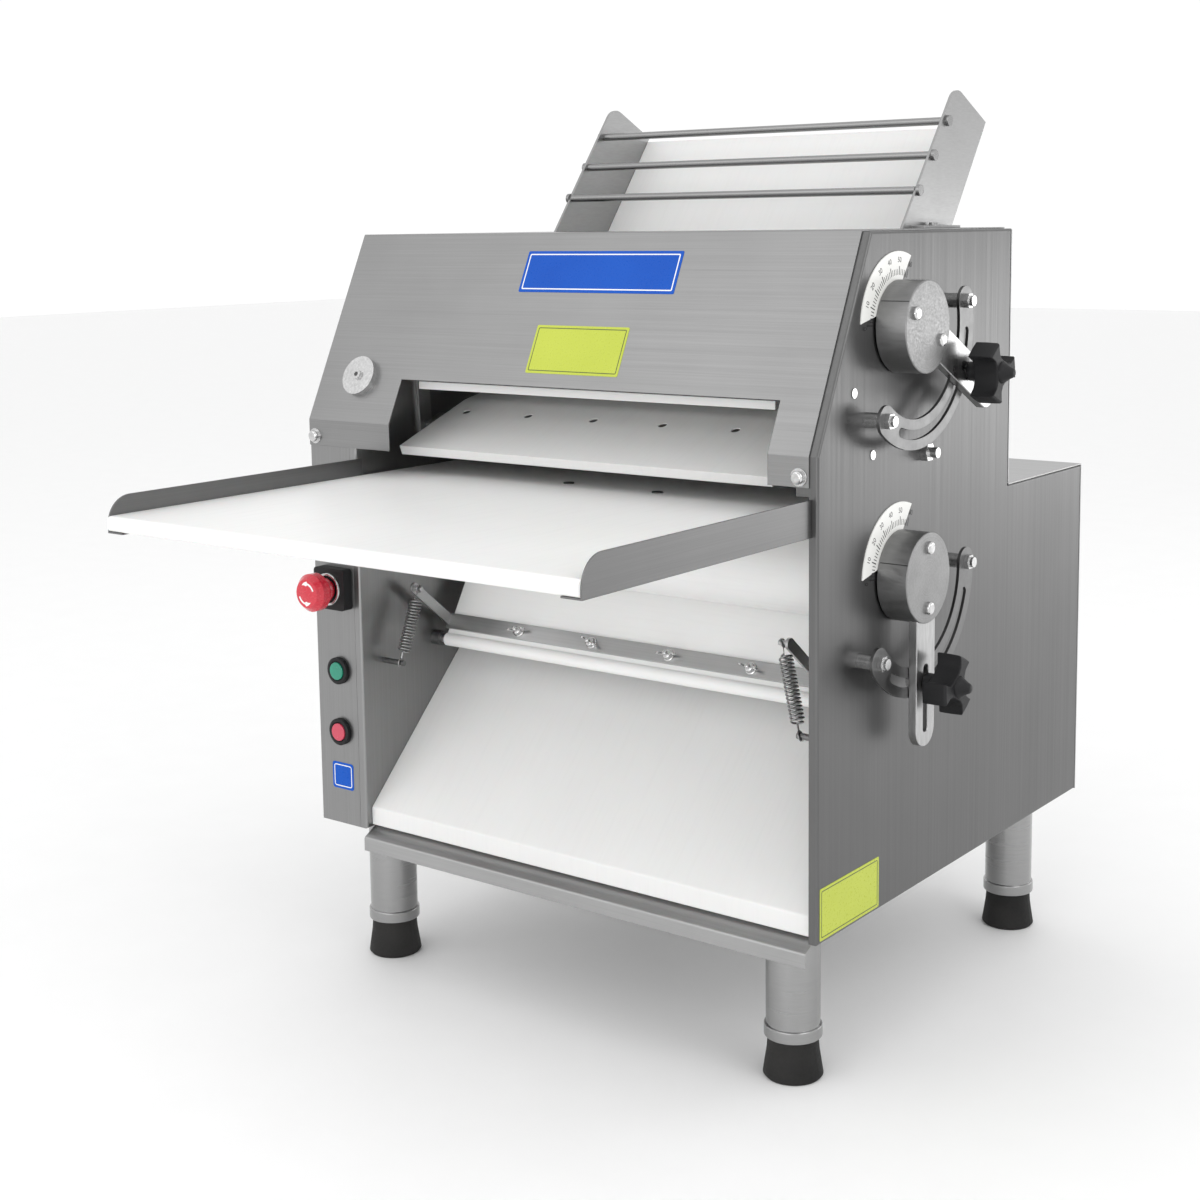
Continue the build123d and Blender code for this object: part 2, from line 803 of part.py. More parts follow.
def sprocket(centre, boss_radius, bore_radius, boss_from, boss_to):
    """A toothed wheel with a boss, bored for its shaft."""
    with BuildPart() as wheel:
        with BuildSketch(Plane.YZ.offset(sprocket_x)) as rim:
            with Locations(centre):
                Circle(tip_radius)
                with PolarLocations(pitch_radius, teeth):
                    Circle(chain_roller_radius, mode=Mode.SUBTRACT)
        extrude(rim.sketch, amount=sprocket_width)
        round_bar(boss_from, centre, boss_radius, boss_to - boss_from)
        round_bar(boss_from, centre, bore_radius, boss_to - boss_from, mode=Mode.SUBTRACT)
    return wheel


def roller(centre, bore_radius):
    """A plastic roller, bored through, with eased ends."""
    with BuildPart() as sleeve:
        round_bar(roller_x, centre, roller_radius, roller_length)
        fillet(sleeve.edges().filter_by(GeomType.CIRCLE), radius=1.5)
        round_bar(roller_x, centre, bore_radius, roller_length, mode=Mode.SUBTRACT)
    return sleeve


def front_sprocket(centre):
    """The sprocket and hub tube on a front roller's left end."""
    return sprocket(centre, hub_radius, shaft_radius + fit, sprocket_x - 2, roller_x)


def rear_shaft(centre):
    """A rear roller's shaft with its own sprocket."""
    shaft_from, shaft_to = left_x + 36, right_in - 1
    wheel = sprocket(centre, hub_radius, rear_shaft_radius, sprocket_x - 4, bay_x - 3)
    with wheel:
        round_bar(shaft_from, centre, rear_shaft_radius, shaft_to - shaft_from)
    return wheel


gear_centre = (front_y + 400, 330)
gearbox_width = 110
drive_bore = rear_shaft_radius + fit
with left_inner_wall:
    round_bar(bay_x - 1, gear_centre, rear_shaft_radius + 2, wall + 2, mode=Mode.SUBTRACT)

with BuildPart() as gearbox:
    block(
        (wall_x, gear_centre[0] - 60, gear_centre[1] - 95),
        (wall_x + gearbox_width, gear_centre[0] + 60, gear_centre[1] + 55),
    )
    fillet(gearbox.edges().filter_by(Axis.X), radius=18)
    round_bar(wall_x, gear_centre, drive_bore, 40, mode=Mode.SUBTRACT)

drive_sprocket = sprocket(gear_centre, hub_radius, rear_shaft_radius, sprocket_x - 4, bay_x - 3)
with drive_sprocket:
    round_bar(left_x + 36, gear_centre, rear_shaft_radius, wall_x + 38 - left_x - 36)

motor_radius = 68
motor_length = 230
motor_centre = (gear_centre[0] + 8, gear_centre[1] - 40)
motor_x = wall_x + gearbox_width
with BuildPart() as motor:
    round_bar(motor_x, motor_centre, motor_radius, motor_length)
    with Locations((motor_x + motor_length, *motor_centre)):
        Cylinder(motor_radius - 8, 18, rotation=(0, 90, 0), align=FROM_END)
    block(
        (motor_x + 40, motor_centre[0] - 55, body_bottom_z + sheet),
        (motor_x + motor_length - 40, motor_centre[0] + 55, motor_centre[1] - 40),
    )
    block(
        (motor_x + 70, motor_centre[0] - 45, motor_centre[1]),
        (motor_x + 150, motor_centre[0] + 45, motor_centre[1] + motor_radius + 30),
    )

chain_inner = tip_radius + chain_clear
chain_stops = [gear_centre, lower_rear, upper_rear]
with BuildPart() as drive_chain:
    for radius, mode in ((chain_inner + chain_height, Mode.ADD), (chain_inner, Mode.SUBTRACT)):
        with BuildSketch(Plane.YZ.offset(sprocket_x - 0.5)) as loop:
            with Locations(*chain_stops):
                Circle(radius)
            make_hull()
        extrude(loop.sketch, amount=sprocket_width + 1, mode=mode)

upper_front_roller = roller(upper_front, shaft_radius + fit)
lower_front_roller = roller(lower_front, shaft_radius + fit)
upper_rear_roller = roller(upper_rear, rear_shaft_radius)
lower_rear_roller = roller(lower_rear, rear_shaft_radius)
upper_front_sprocket = front_sprocket(upper_front)
lower_front_sprocket = front_sprocket(lower_front)
upper_rear_shaft = rear_shaft(upper_rear)
lower_rear_shaft = rear_shaft(lower_rear)
upper_eccentric_shaft = eccentric_shaft(upper_axis, upper_front)
lower_eccentric_shaft = eccentric_shaft(lower_axis, lower_front)
upper_disc = gauge_disc(upper_axis, upper_rest)
lower_disc = gauge_disc(lower_axis, lower_rest)
upper_lever = gap_lever(upper_axis, upper_rest)
lower_lever = gap_lever(lower_axis, lower_rest)
upper_disc_screws = disc_screws(upper_axis, upper_rest)
lower_disc_screws = disc_screws(lower_axis, lower_rest)
upper_knob = clamp_knob(upper_axis, upper_rest)
lower_knob = clamp_knob(lower_axis, lower_rest)

with BuildPart() as shaft_bearings:
    for axis in (upper_axis, lower_axis):
        round_bar(right_in - 6, axis, bush_flange_radius, 6)
        round_bar(right_in, axis, bush_radius, wall)
        round_bar(strap_x - 1, axis, bush_radius, strap_sheet + 2)
        round_bar(left_x, axis, journal_radius + fit, body_width, mode=Mode.SUBTRACT)
    for centre in (upper_rear, lower_rear):
        for x in (wall_x, right_in - bearing_width):
            with BuildSketch(Plane.YZ.offset(x)) as housing:
                with Locations(centre):
                    RectangleRounded(bearing_side, bearing_side, 14)
            extrude(housing.sketch, amount=bearing_width)
        round_bar(wall_x, centre, rear_shaft_radius + fit, body_width, mode=Mode.SUBTRACT)

strap_half = 52  # standoffs above and below the shaft, clear of its sprocket
with BuildPart() as outboard_brackets:
    for axis in (upper_axis, lower_axis):
        with BuildSketch(Plane.YZ.offset(strap_x)) as strap:
            with Locations(axis):
                SlotCenterToCenter(2 * strap_half, 34, rotation=90)
                Circle(bush_radius + fit, mode=Mode.SUBTRACT)
        extrude(strap.sketch, amount=strap_sheet)
        for side in (-strap_half, strap_half):
            place = (axis[0], axis[1] + side)
            round_bar(strap_x + strap_sheet, place, 7, bay_x - strap_x - strap_sheet)

# =================================================================== lower scraper
pivot = (front_y + 110, 341)
blade_left_x = left_x + 85
blade_right_x = left_x + 550
blade_sheet = 6
bulb_radius = 7
pin_radius = 4
pin_depth = 20
blade_tip = polar(lower_front, roller_radius + scraper_clear, tip_angle)
blade_angle = math.degrees(math.atan2(blade_tip[1] - pivot[1], blade_tip[0] - pivot[0]))
blade_length = math.dist(pivot, blade_tip)
pivot_axis = polar(pivot, blade_sheet / 2, blade_angle - 90)
blade_plane = Plane(
    origin=(0, *pivot),
    x_dir=(0, math.cos(math.radians(blade_angle)), math.sin(math.radians(blade_angle))),
    z_dir=(1, 0, 0),
)

with BuildPart() as scraper_blade:
    with BuildSketch(blade_plane.offset(blade_left_x)) as blade:
        with BuildLine():
            Polyline(
                (0, 0), (blade_length, 0), (blade_length - 5, -blade_sheet), (0, -blade_sheet), close=True
            )
        make_face()
        with Locations((0, -blade_sheet / 2)):
            Circle(bulb_radius)
    extrude(blade.sketch, amount=blade_right_x - blade_left_x)
    for x in (blade_left_x, blade_right_x - pin_depth):
        round_bar(x, pivot_axis, pin_radius + fit, pin_depth, mode=Mode.SUBTRACT)

bar_from, bar_height, bar_sheet = 11, 17, 3
arm_sheet = 3
arm_width = 11
hook = (front_y + 64, 404)
arm_foot = polar(pivot, 20, blade_angle)
hook_pin_radius = 2.5
left_arm_x = blade_left_x - arm_sheet - 0.5
right_arm_x = blade_right_x + 0.5
left_spring_x = blade_left_x + 5
right_spring_x = blade_right_x - 5
with BuildPart() as scraper_bar:
    with BuildSketch(blade_plane.offset(left_arm_x)) as bar:
        with Locations((bar_from, 0)):
            Rectangle(bar_height, bar_sheet, align=(Align.MIN, Align.MIN))
    extrude(bar.sketch, amount=right_arm_x + arm_sheet - left_arm_x)
    for x in (left_arm_x, right_arm_x):
        with BuildSketch(Plane.YZ.offset(x)) as arm:
            with Locations(arm_foot, hook):
                Circle(arm_width / 2)
            make_hull()
        extrude(arm.sketch, amount=arm_sheet)
    round_bar(left_arm_x, hook, hook_pin_radius, left_spring_x + 4 - left_arm_x)
    round_bar(right_spring_x - 4, hook, hook_pin_radius, right_arm_x + arm_sheet - right_spring_x + 4)
    round_bar(wall_x + 2, pivot_axis, pin_radius, blade_left_x + pin_depth - wall_x - 2)
    right_pin_x = blade_right_x - pin_depth
    round_bar(right_pin_x, pivot_axis, pin_radius, right_in - 2 - right_pin_x)

stud_hook = (front_y + 34, 329)
left_stud_end = left_spring_x + 4
right_stud_end = left_x + 579
sleeve_radius = 8
stud_pin_radius = 3
with BuildPart() as scraper_mounts:
    round_bar(wall_x, stud_hook, stud_pin_radius, left_stud_end - wall_x)
    round_bar(right_stud_end, stud_hook, stud_pin_radius, right_in - right_stud_end)
    round_bar(wall_x, pivot_axis, sleeve_radius, 12)
    round_bar(right_in - 40, pivot_axis, sleeve_radius, 40)
    round_bar(wall_x, pivot_axis, pin_radius + fit, body_width, mode=Mode.SUBTRACT)

nut_places = [left_x + 183.5 + 97.4 * i for i in range(4)]
bar_middle = polar(pivot, bar_from + bar_height / 2, blade_angle)
with BuildPart() as wing_nuts:
    for x in nut_places:
        nut_plane = Plane(
            origin=(x, *polar(bar_middle, bar_sheet, blade_angle + 90)),
            x_dir=(1, 0, 0),
            z_dir=(0, -math.sin(math.radians(blade_angle)), math.cos(math.radians(blade_angle))),
        )
        with BuildSketch(nut_plane) as hub:
            Circle(5.5)
        extrude(hub.sketch, amount=6)
        with BuildSketch(nut_plane) as tip:
            Circle(2.5)
        extrude(tip.sketch, amount=11)
        with BuildSketch(nut_plane.offset(2)) as ears:
            Rectangle(22, 3)
        extrude(ears.sketch, amount=9)

spring_radius = 6
wire_radius = 1.2
with BuildPart() as scraper_springs:
    for hook_x, stud_x in ((left_spring_x, left_spring_x), (right_spring_x, right_stud_end + 3)):
        top = Vector(hook_x, *hook)
        foot = Vector(stud_x, *stud_hook)
        along = (foot - top).normalized()
        length = (foot - top).length
        with BuildSketch(Plane(origin=top + along * 14, z_dir=along)) as coil:
            Circle(spring_radius)
        extrude(coil.sketch, amount=length - 28)
        square = math.hypot(along.Y, along.Z)
        aslant = wire_radius * abs(along.X)
        top_gap = (hook_pin_radius + seat_gap + aslant) / square
        foot_gap = (stud_pin_radius + seat_gap + aslant) / square
        for start, reach in ((top_gap, 14 - top_gap), (length - 14, 14 - foot_gap)):
            with BuildSketch(Plane(origin=top + along * start, z_dir=along)) as loop:
                Circle(wire_radius)
            extrude(loop.sketch, amount=reach)

# =================================================================== controls
estop_side = 44
estop_plate = 12
estop_gap = 6
estop_travel = 5
head_radius = 20
neck_radius = 9
stem_radius = 5
estop_face_y = front_y - estop_plate
contact_y = front_y + 44
with BuildPart() as estop_base:
    with BuildSketch(Plane.XZ.offset(-front_y)) as plate:
        with Locations((control_x, estop_z)):
            RectangleRounded(estop_side, estop_side, 4)
    extrude(plate.sketch, amount=estop_plate)
    front_bar(control_x, contact_y, estop_z, barrel_radius - fit, contact_y - front_y)
    block(
        (control_x - 20, front_y + 10, estop_z - 20),
        (control_x + 20, contact_y, estop_z + 20),
    )
    front_bar(control_x, front_y + estop_travel - 1, estop_z, neck_radius + 0.3, 24, Mode.SUBTRACT)
    front_bar(control_x, front_y + 30, estop_z, stem_radius + fit, 40, Mode.SUBTRACT)

with BuildPart() as estop_stem:
    stem_front_y = estop_face_y - 14
    front_bar(control_x, front_y + 24, estop_z, stem_radius, front_y + 24 - stem_front_y)

with BuildPart() as estop_head:
    front_bar(control_x, front_y - 3, estop_z, neck_radius, estop_plate + estop_gap - 3)
    cap_y = estop_face_y - estop_gap
    with BuildSketch(Plane.XY.offset(estop_z)) as cap:
        with BuildLine():
            Polyline(
                (control_x, cap_y + 0.5),
                (control_x + 13, cap_y + 0.5),
                (control_x + 15, cap_y - 8),
                (control_x + head_radius, cap_y - 11),
                (control_x + head_radius, cap_y - 20),
                (control_x + head_radius - 5, cap_y - 26),
                (control_x, cap_y - 27),
                close=True,
            )
        make_face()
    revolve(cap.sketch, axis=Axis((control_x, 0, estop_z), (0, 1, 0)))
    front_bar(control_x, front_y, estop_z, stem_radius + fit, front_y - stem_front_y + fit, Mode.SUBTRACT)

bezel_radius = 14.5
bezel_height = 4
button_radius = 9.5
with BuildPart() as button_bodies:
    for z in (start_z, stop_z):
        front_bar(control_x, front_y, z, bezel_radius, bezel_height)
        front_bar(control_x, contact_y, z, barrel_radius - fit, contact_y - front_y)
        block(
            (control_x - 14, front_y + 10, z - 14),
            (control_x + 14, contact_y, z + 14),
        )
        front_bar(control_x, front_y + 14, z, button_radius + 0.2, 30, Mode.SUBTRACT)


def push_button(z):
    """A push button that stands a little proud of its ring."""
    with BuildPart() as button:
        front_bar(control_x, front_y + 10, z, button_radius, 10 + bezel_height + 2)
        fillet(button.faces().sort_by(Axis.Y)[0].edges(), radius=1)
    return button


start_button = push_button(start_z)
stop_button = push_button(stop_z)

with BuildPart() as cord_gland:
    back_face_y = back_y + sheet
    with BuildSketch(Plane.XZ.offset(-back_face_y - 6)) as hexagon:
        with Locations((gland_x, gland_z)):
            RegularPolygon(13, 6)
    extrude(hexagon.sketch, amount=6)
    front_bar(gland_x, back_face_y + gland_reach, gland_z, 10, gland_reach - 6)
    front_bar(gland_x, back_face_y, gland_z, gland_radius - fit, 8)
    front_bar(gland_x, back_y - sheet - seat_gap, gland_z, 12, 5)
    front_bar(gland_x, back_face_y + gland_reach, gland_z, 4.6, 40, Mode.SUBTRACT)

# =================================================================== files
pieces = {
    "right_side_panel": right_side_panel,
    "left_inner_wall": left_inner_wall,
    "left_cover": left_cover,
    "bottom_plate": bottom_plate,
    "rear_cover": rear_cover,
    "upper_back_panel": upper_back_panel,
    "hood": hood,
    "cover_bolts": cover_bolts,
    "hopper_left_wing": hopper_left_wing,
    "hopper_right_wing": hopper_right_wing,
    "hopper_slide": hopper_slide,
    "guard_rods": guard_rods,
    "exit_slide": exit_slide,
    "upper_scraper": upper_scraper,
    "throat_frame": throat_frame,
    "tray_board": tray_board,
    "tray_frame": tray_frame,
    "board_screws": board_screws,
    "lower_chute": lower_chute,
    "leg_tubes": leg_tubes,
    "rubber_feet": rubber_feet,
    "gap_dials": gap_dials,
    "gauge_quadrants": gauge_quadrants,
    "quadrant_posts": quadrant_posts,
    "upper_eccentric_shaft": upper_eccentric_shaft,
    "lower_eccentric_shaft": lower_eccentric_shaft,
    "upper_disc": upper_disc,
    "lower_disc": lower_disc,
    "upper_lever": upper_lever,
    "lower_lever": lower_lever,
    "upper_disc_screws": upper_disc_screws,
    "lower_disc_screws": lower_disc_screws,
    "upper_knob": upper_knob,
    "lower_knob": lower_knob,
    "upper_front_roller": upper_front_roller,
    "lower_front_roller": lower_front_roller,
    "upper_front_sprocket": upper_front_sprocket,
    "lower_front_sprocket": lower_front_sprocket,
    "upper_rear_roller": upper_rear_roller,
    "lower_rear_roller": lower_rear_roller,
    "upper_rear_shaft": upper_rear_shaft,
    "lower_rear_shaft": lower_rear_shaft,
    "shaft_bearings": shaft_bearings,
    "outboard_brackets": outboard_brackets,
    "motor": motor,
    "gearbox": gearbox,
    "drive_sprocket": drive_sprocket,
    "drive_chain": drive_chain,
    "scraper_blade": scraper_blade,
    "scraper_bar": scraper_bar,
    "scraper_mounts": scraper_mounts,
    "wing_nuts": wing_nuts,
    "scraper_springs": scraper_springs,
    "estop_base": estop_base,
    "estop_stem": estop_stem,
    "estop_head": estop_head,
    "button_bodies": button_bodies,
    "start_button": start_button,
    "stop_button": stop_button,
    "cord_gland": cord_gland,
}
for name, piece in pieces.items():
    piece.part.label = name
    export_step(piece.part, f"parts/{name}.step")
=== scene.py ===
"""Looks of the two-stage dough sheeter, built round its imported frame.

Metres, in the frame's own axes: X to the machine's right, Y to its back, Z up.
"""

import json
import math

import bmesh
import bpy
from mathutils import Matrix, Vector


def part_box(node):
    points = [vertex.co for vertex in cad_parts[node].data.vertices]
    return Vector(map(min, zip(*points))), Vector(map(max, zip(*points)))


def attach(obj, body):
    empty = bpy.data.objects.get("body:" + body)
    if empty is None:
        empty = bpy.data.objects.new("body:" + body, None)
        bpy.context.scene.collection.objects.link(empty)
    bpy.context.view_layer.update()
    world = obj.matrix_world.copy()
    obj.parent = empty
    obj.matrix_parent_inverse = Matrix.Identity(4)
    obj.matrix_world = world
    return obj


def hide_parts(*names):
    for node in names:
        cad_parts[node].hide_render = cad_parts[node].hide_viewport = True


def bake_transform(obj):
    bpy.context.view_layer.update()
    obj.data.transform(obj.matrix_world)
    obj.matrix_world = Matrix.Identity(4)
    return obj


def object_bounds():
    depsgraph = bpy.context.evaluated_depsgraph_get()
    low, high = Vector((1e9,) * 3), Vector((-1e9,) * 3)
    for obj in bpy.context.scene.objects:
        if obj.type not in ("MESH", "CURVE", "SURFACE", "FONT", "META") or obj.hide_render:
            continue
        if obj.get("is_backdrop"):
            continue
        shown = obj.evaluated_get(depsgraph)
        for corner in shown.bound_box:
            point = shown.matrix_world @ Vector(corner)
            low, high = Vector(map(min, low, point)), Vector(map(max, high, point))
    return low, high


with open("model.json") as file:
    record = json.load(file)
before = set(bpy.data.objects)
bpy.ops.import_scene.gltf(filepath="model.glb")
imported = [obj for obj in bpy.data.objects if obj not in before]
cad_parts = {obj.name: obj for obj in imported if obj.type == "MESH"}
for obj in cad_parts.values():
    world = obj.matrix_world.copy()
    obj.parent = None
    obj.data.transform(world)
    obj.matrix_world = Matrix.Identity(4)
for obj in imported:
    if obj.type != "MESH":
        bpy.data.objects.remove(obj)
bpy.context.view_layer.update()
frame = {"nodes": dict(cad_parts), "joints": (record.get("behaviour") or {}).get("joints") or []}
nodes = frame["nodes"]
joints = {joint["name"]: joint for joint in frame["joints"]}

# ------------------------------------------------------------------ places
MM = 0.001
right_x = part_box("right_side_panel")[1].x
left_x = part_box("left_cover")[0].x
front_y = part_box("right_side_panel")[0].y
hood_top_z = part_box("hood")[1].z
gauge_axis = {side: Vector(joints[f"{side}_gap"]["pos_m"]) for side in ("upper", "lower")}
clamp_axis = {side: Vector(joints[f"{side}_clamp_turn"]["pos_m"]) for side in ("upper", "lower")}
ACROSS = Vector((1, 0, 0))
UP = Vector((0, 0, 1))

cover_sheet = 1.5 * MM
slope_foot_z = 0.587
slope_setback = 90 * MM
slope_up = Vector((0, slope_setback, hood_top_z - cover_sheet - slope_foot_z)).normalized()
slope_out = ACROSS.cross(slope_up)
slope_foot = Vector((0, front_y, slope_foot_z)) + slope_out * cover_sheet


def on_slope(x, z):
    """A point of the hood's sloping face."""
    return slope_foot + slope_up * ((z - slope_foot.z) / slope_up.z) + ACROSS * x


def yz(centre, radius, degrees):
    """A point in the plane across X, at an angle from +Y towards +Z."""
    angle = math.radians(degrees)
    return centre + Vector((0, radius * math.cos(angle), radius * math.sin(angle)))


def frame_at(origin, x_axis, y_axis):
    """The matrix whose columns are two axes, their cross product and an origin."""
    x_axis, y_axis = x_axis.normalized(), y_axis.normalized()
    z_axis = x_axis.cross(y_axis)
    rows = Matrix((x_axis, y_axis, z_axis)).transposed().to_4x4()
    rows.translation = origin
    return rows


# ------------------------------------------------------------------ materials
def add(tree, kind, inputs=None, **settings):
    """A shader node with its settings and its unlinked inputs."""
    node = tree.nodes.new("ShaderNode" + kind)
    for key, value in settings.items():
        setattr(node, key, value)
    for key, value in (inputs or {}).items():
        node.inputs[key].default_value = value
    return node


def start_material(name, metallic=0.0, roughness=0.5, **inputs):
    material = bpy.data.materials.new(name)
    material.use_nodes = True
    shader = material.node_tree.nodes["Principled BSDF"]
    shader.inputs["Metallic"].default_value = metallic
    shader.inputs["Roughness"].default_value = roughness
    for key, value in inputs.items():
        shader.inputs[key.replace("_", " ")].default_value = value
    return material, material.node_tree, shader


def noise(tree, stretch, detail=4.0, place=(0, 0, 0)):
    """Noise in the object's own coordinates; stretch is its frequency along each axis."""
    coordinates = add(tree, "TexCoord")
    mapping = add(tree, "Mapping", {"Scale": stretch, "Location": place})
    pattern = add(tree, "TexNoise", {"Scale": 1.0, "Detail": detail})
    tree.links.new(coordinates.outputs["Object"], mapping.inputs["Vector"])
    tree.links.new(mapping.outputs["Vector"], pattern.inputs["Vector"])
    return pattern.outputs["Fac"]


def spread(tree, value, low, high, dark=0.3, light=0.7):
    """The value's range from dark to light, stretched to low to high."""
    node = add(tree, "MapRange", {"From Min": dark, "From Max": light, "To Min": low, "To Max": high})
    tree.links.new(value, node.inputs["Value"])
    return node.outputs["Result"]


def shades(tree, value, dark, light, at=(0.3, 0.7)):
    """A colour between dark and light."""
    ramp = add(tree, "ValToRGB")
    for stop, place, colour in zip(ramp.color_ramp.elements, at, (dark, light)):
        stop.position = place
        stop.color = (*colour, 1)
    tree.links.new(value, ramp.inputs["Fac"])
    return ramp.outputs["Color"]


def blended(tree, kind, factor, first, second):
    """Two colours blended; factor is a number or a socket."""
    mix = add(tree, "Mix", data_type="RGBA", blend_type=kind)
    if isinstance(factor, float):
        mix.inputs[0].default_value = factor
    else:
        tree.links.new(factor, mix.inputs[0])
    tree.links.new(first, mix.inputs[6])
    tree.links.new(second, mix.inputs[7])
    return mix.outputs[2]


def relief(tree, shader, height, distance, strength=1.0, edge=0.0):
    """Bump from a height, over edges rounded by an optional radius."""
    bump = add(tree, "Bump", {"Strength": strength, "Distance": distance})
    tree.links.new(height, bump.inputs["Height"])
    if edge:
        rounded = add(tree, "Bevel", {"Radius": edge}, samples=4)
        tree.links.new(rounded.outputs["Normal"], bump.inputs["Normal"])
    tree.links.new(bump.outputs["Normal"], shader.inputs["Normal"])


def grey(tone, warmth=0.0):
    return (tone * (1 + warmth), tone, tone * (1 - warmth))


def brushed(name, tone, grain, roughness=0.34, contrast=0.05, edge=0.8 * MM):
    """Sheet metal with a brushed grain: grain is the frequency of its streaks."""
    material, tree, shader = start_material(name, metallic=1.0)
    streaks = noise(tree, grain, detail=6.0)
    clouds = noise(tree, (9, 9, 9), detail=3.0)
    scuffs = noise(tree, (grain[0] / 4, grain[1] / 4, grain[2] / 4), 8.0, (3, 1, 2))
    fine = shades(tree, streaks, grey(tone * (1 - contrast)), grey(tone * (1 + contrast)))
    broad = shades(tree, clouds, grey(0.93), grey(1.0))
    colour = blended(tree, "MULTIPLY", 1.0, fine, broad)
    tree.links.new(colour, shader.inputs["Base Color"])
    polish = spread(tree, scuffs, roughness - 0.04, roughness + 0.05)
    tree.links.new(polish, shader.inputs["Roughness"])
    relief(tree, shader, streaks, 0.012 * MM, 0.5, edge)
    return material


def turned(name, tone, centre, roughness=0.3, ring=900.0, edge=0.5 * MM):
    """Metal turned on a lathe about an X axis through centre."""
    material, tree, shader = start_material(name, metallic=1.0)
    coordinates = add(tree, "TexCoord")
    place = add(tree, "Mapping", {"Location": (0, -centre.y, -centre.z)})
    flat = add(tree, "VectorMath", {1: (0, 1, 1)}, operation="MULTIPLY")
    length = add(tree, "VectorMath", operation="LENGTH")
    rings = add(tree, "TexNoise", {"Scale": ring, "Detail": 3.0}, noise_dimensions="1D")
    tree.links.new(coordinates.outputs["Object"], place.inputs["Vector"])
    tree.links.new(place.outputs["Vector"], flat.inputs[0])
    tree.links.new(flat.outputs["Vector"], length.inputs[0])
    tree.links.new(length.outputs["Value"], rings.inputs["W"])
    marks = noise(tree, (60, 500, 500), 4.0)
    clouds = noise(tree, (40, 40, 40), 4.0)
    facing = add(tree, "SeparateXYZ")
    tree.links.new(add(tree, "NewGeometry").outputs["True Normal"], facing.inputs["Vector"])
    on_face = add(tree, "Math", operation="ABSOLUTE")
    tree.links.new(facing.outputs["X"], on_face.inputs[0])
    ridges = add(tree, "Math", {1: 0.5}, operation="SUBTRACT")
    tree.links.new(rings.outputs["Fac"], ridges.inputs[0])
    cut = add(tree, "Math", {2: 0.5}, operation="MULTIPLY_ADD")
    tree.links.new(ridges.outputs["Value"], cut.inputs[0])
    tree.links.new(on_face.outputs["Value"], cut.inputs[1])
    fine = shades(tree, cut.outputs["Value"], grey(tone * 0.93), grey(tone * 1.05))
    broad = shades(tree, clouds, grey(0.86), grey(1.0))
    colour = blended(tree, "MULTIPLY", 1.0, fine, broad)
    tree.links.new(colour, shader.inputs["Base Color"])
    tree.links.new(spread(tree, marks, roughness - 0.06, roughness + 0.12), shader.inputs["Roughness"])
    relief(tree, shader, cut.outputs["Value"], 0.015 * MM, 0.5, edge)
    return material


def plastic(name, dark, light, roughness, grain=900.0, depth=0.05 * MM, edge=0.6 * MM, **inputs):
    """Moulded or cut plastic with a fine texture and a little mottling."""
    material, tree, shader = start_material(name, roughness=roughness, **inputs)
    skin = noise(tree, (grain, grain, grain), 3.0)
    clouds = noise(tree, (14, 14, 14), 4.0)
    tree.links.new(shades(tree, clouds, dark, light), shader.inputs["Base Color"])
    tree.links.new(spread(tree, skin, roughness - 0.06, roughness + 0.08), shader.inputs["Roughness"])
    relief(tree, shader, skin, depth, 0.6, edge)
    return material


def white_board(name, tone, stroke, roughness=0.4):
    """White food-grade plastic with faint cut marks; stroke is their frequency."""
    material, tree, shader = start_material(name, roughness=roughness)
    shader.inputs["Subsurface Weight"].default_value = 0.08
    shader.inputs["Subsurface Scale"].default_value = 4 * MM
    cuts = noise(tree, stroke, 8.0)
    clouds = noise(tree, (7, 7, 7), 4.0)
    skin = noise(tree, (700, 700, 700), 2.0)
    broad = shades(tree, clouds, (tone * 0.965, tone * 0.965, tone * 0.955), (tone, tone, tone * 0.992))
    fine = shades(tree, cuts, grey(0.985), grey(1.0), (0.34, 0.5))
    colour = blended(tree, "MULTIPLY", 1.0, broad, fine)
    tree.links.new(colour, shader.inputs["Base Color"])
    tree.links.new(spread(tree, cuts, roughness + 0.06, roughness - 0.02), shader.inputs["Roughness"])
    relief(tree, shader, skin, 0.05 * MM, 0.4, 1.2 * MM)
    return material


ALONG_X = (6, 1000, 1000)
ALONG_Y = (1000, 6, 1000)
ALONG_Z = (1000, 1000, 6)

hood_steel = brushed("hood_brushed_steel", 0.29, ALONG_X, 0.36)
# The right side panel's steel gets about half the hood's tone: painted shade for the machine's right side,
# which faces away from the key light.
side_steel_painted_shade = brushed("side_brushed_steel_painted_shade", 0.15, ALONG_Z, 0.38)
cover_steel = brushed("cover_brushed_steel", 0.29, ALONG_Z, 0.36)
inner_steel = brushed("inner_brushed_steel", 0.3, ALONG_Z, 0.34)
floor_steel = brushed("floor_brushed_steel", 0.4, ALONG_X, 0.34)
back_steel = brushed("back_brushed_steel", 0.38, ALONG_X, 0.36)
wing_steel = brushed("wing_brushed_steel", 0.36, (700, 90, 700), 0.33)
rail_steel = brushed("rail_brushed_steel", 0.2, ALONG_Y, 0.33)
bar_steel = brushed("bar_brushed_steel", 0.47, ALONG_X, 0.32)
tube_steel = brushed("tube_satin_steel", 0.36, (40, 40, 900), 0.24, 0.03)
bright_steel = brushed("bright_fastener_steel", 0.62, (300, 300, 300), 0.17, 0.12, 0.4 * MM)
rod_steel = brushed("satin_rod_steel", 0.3, (8, 700, 700), 0.26)
polished_steel = brushed("polished_quadrant_steel", 0.18, (200, 200, 200), 0.34, 0.06, 0.4 * MM)
# Dark steel for the board screws; the same material is painted shade for the lock disc's hex socket.
dark_screw_and_socket_shade = brushed("dark_screw_steel_and_socket_shade", 0.09, (400, 400, 400), 0.42, 0.3, 0.3 * MM)
stud_steel = brushed("blackened_stud_steel", 0.2, (400, 400, 400), 0.36, 0.1, 0.3 * MM)
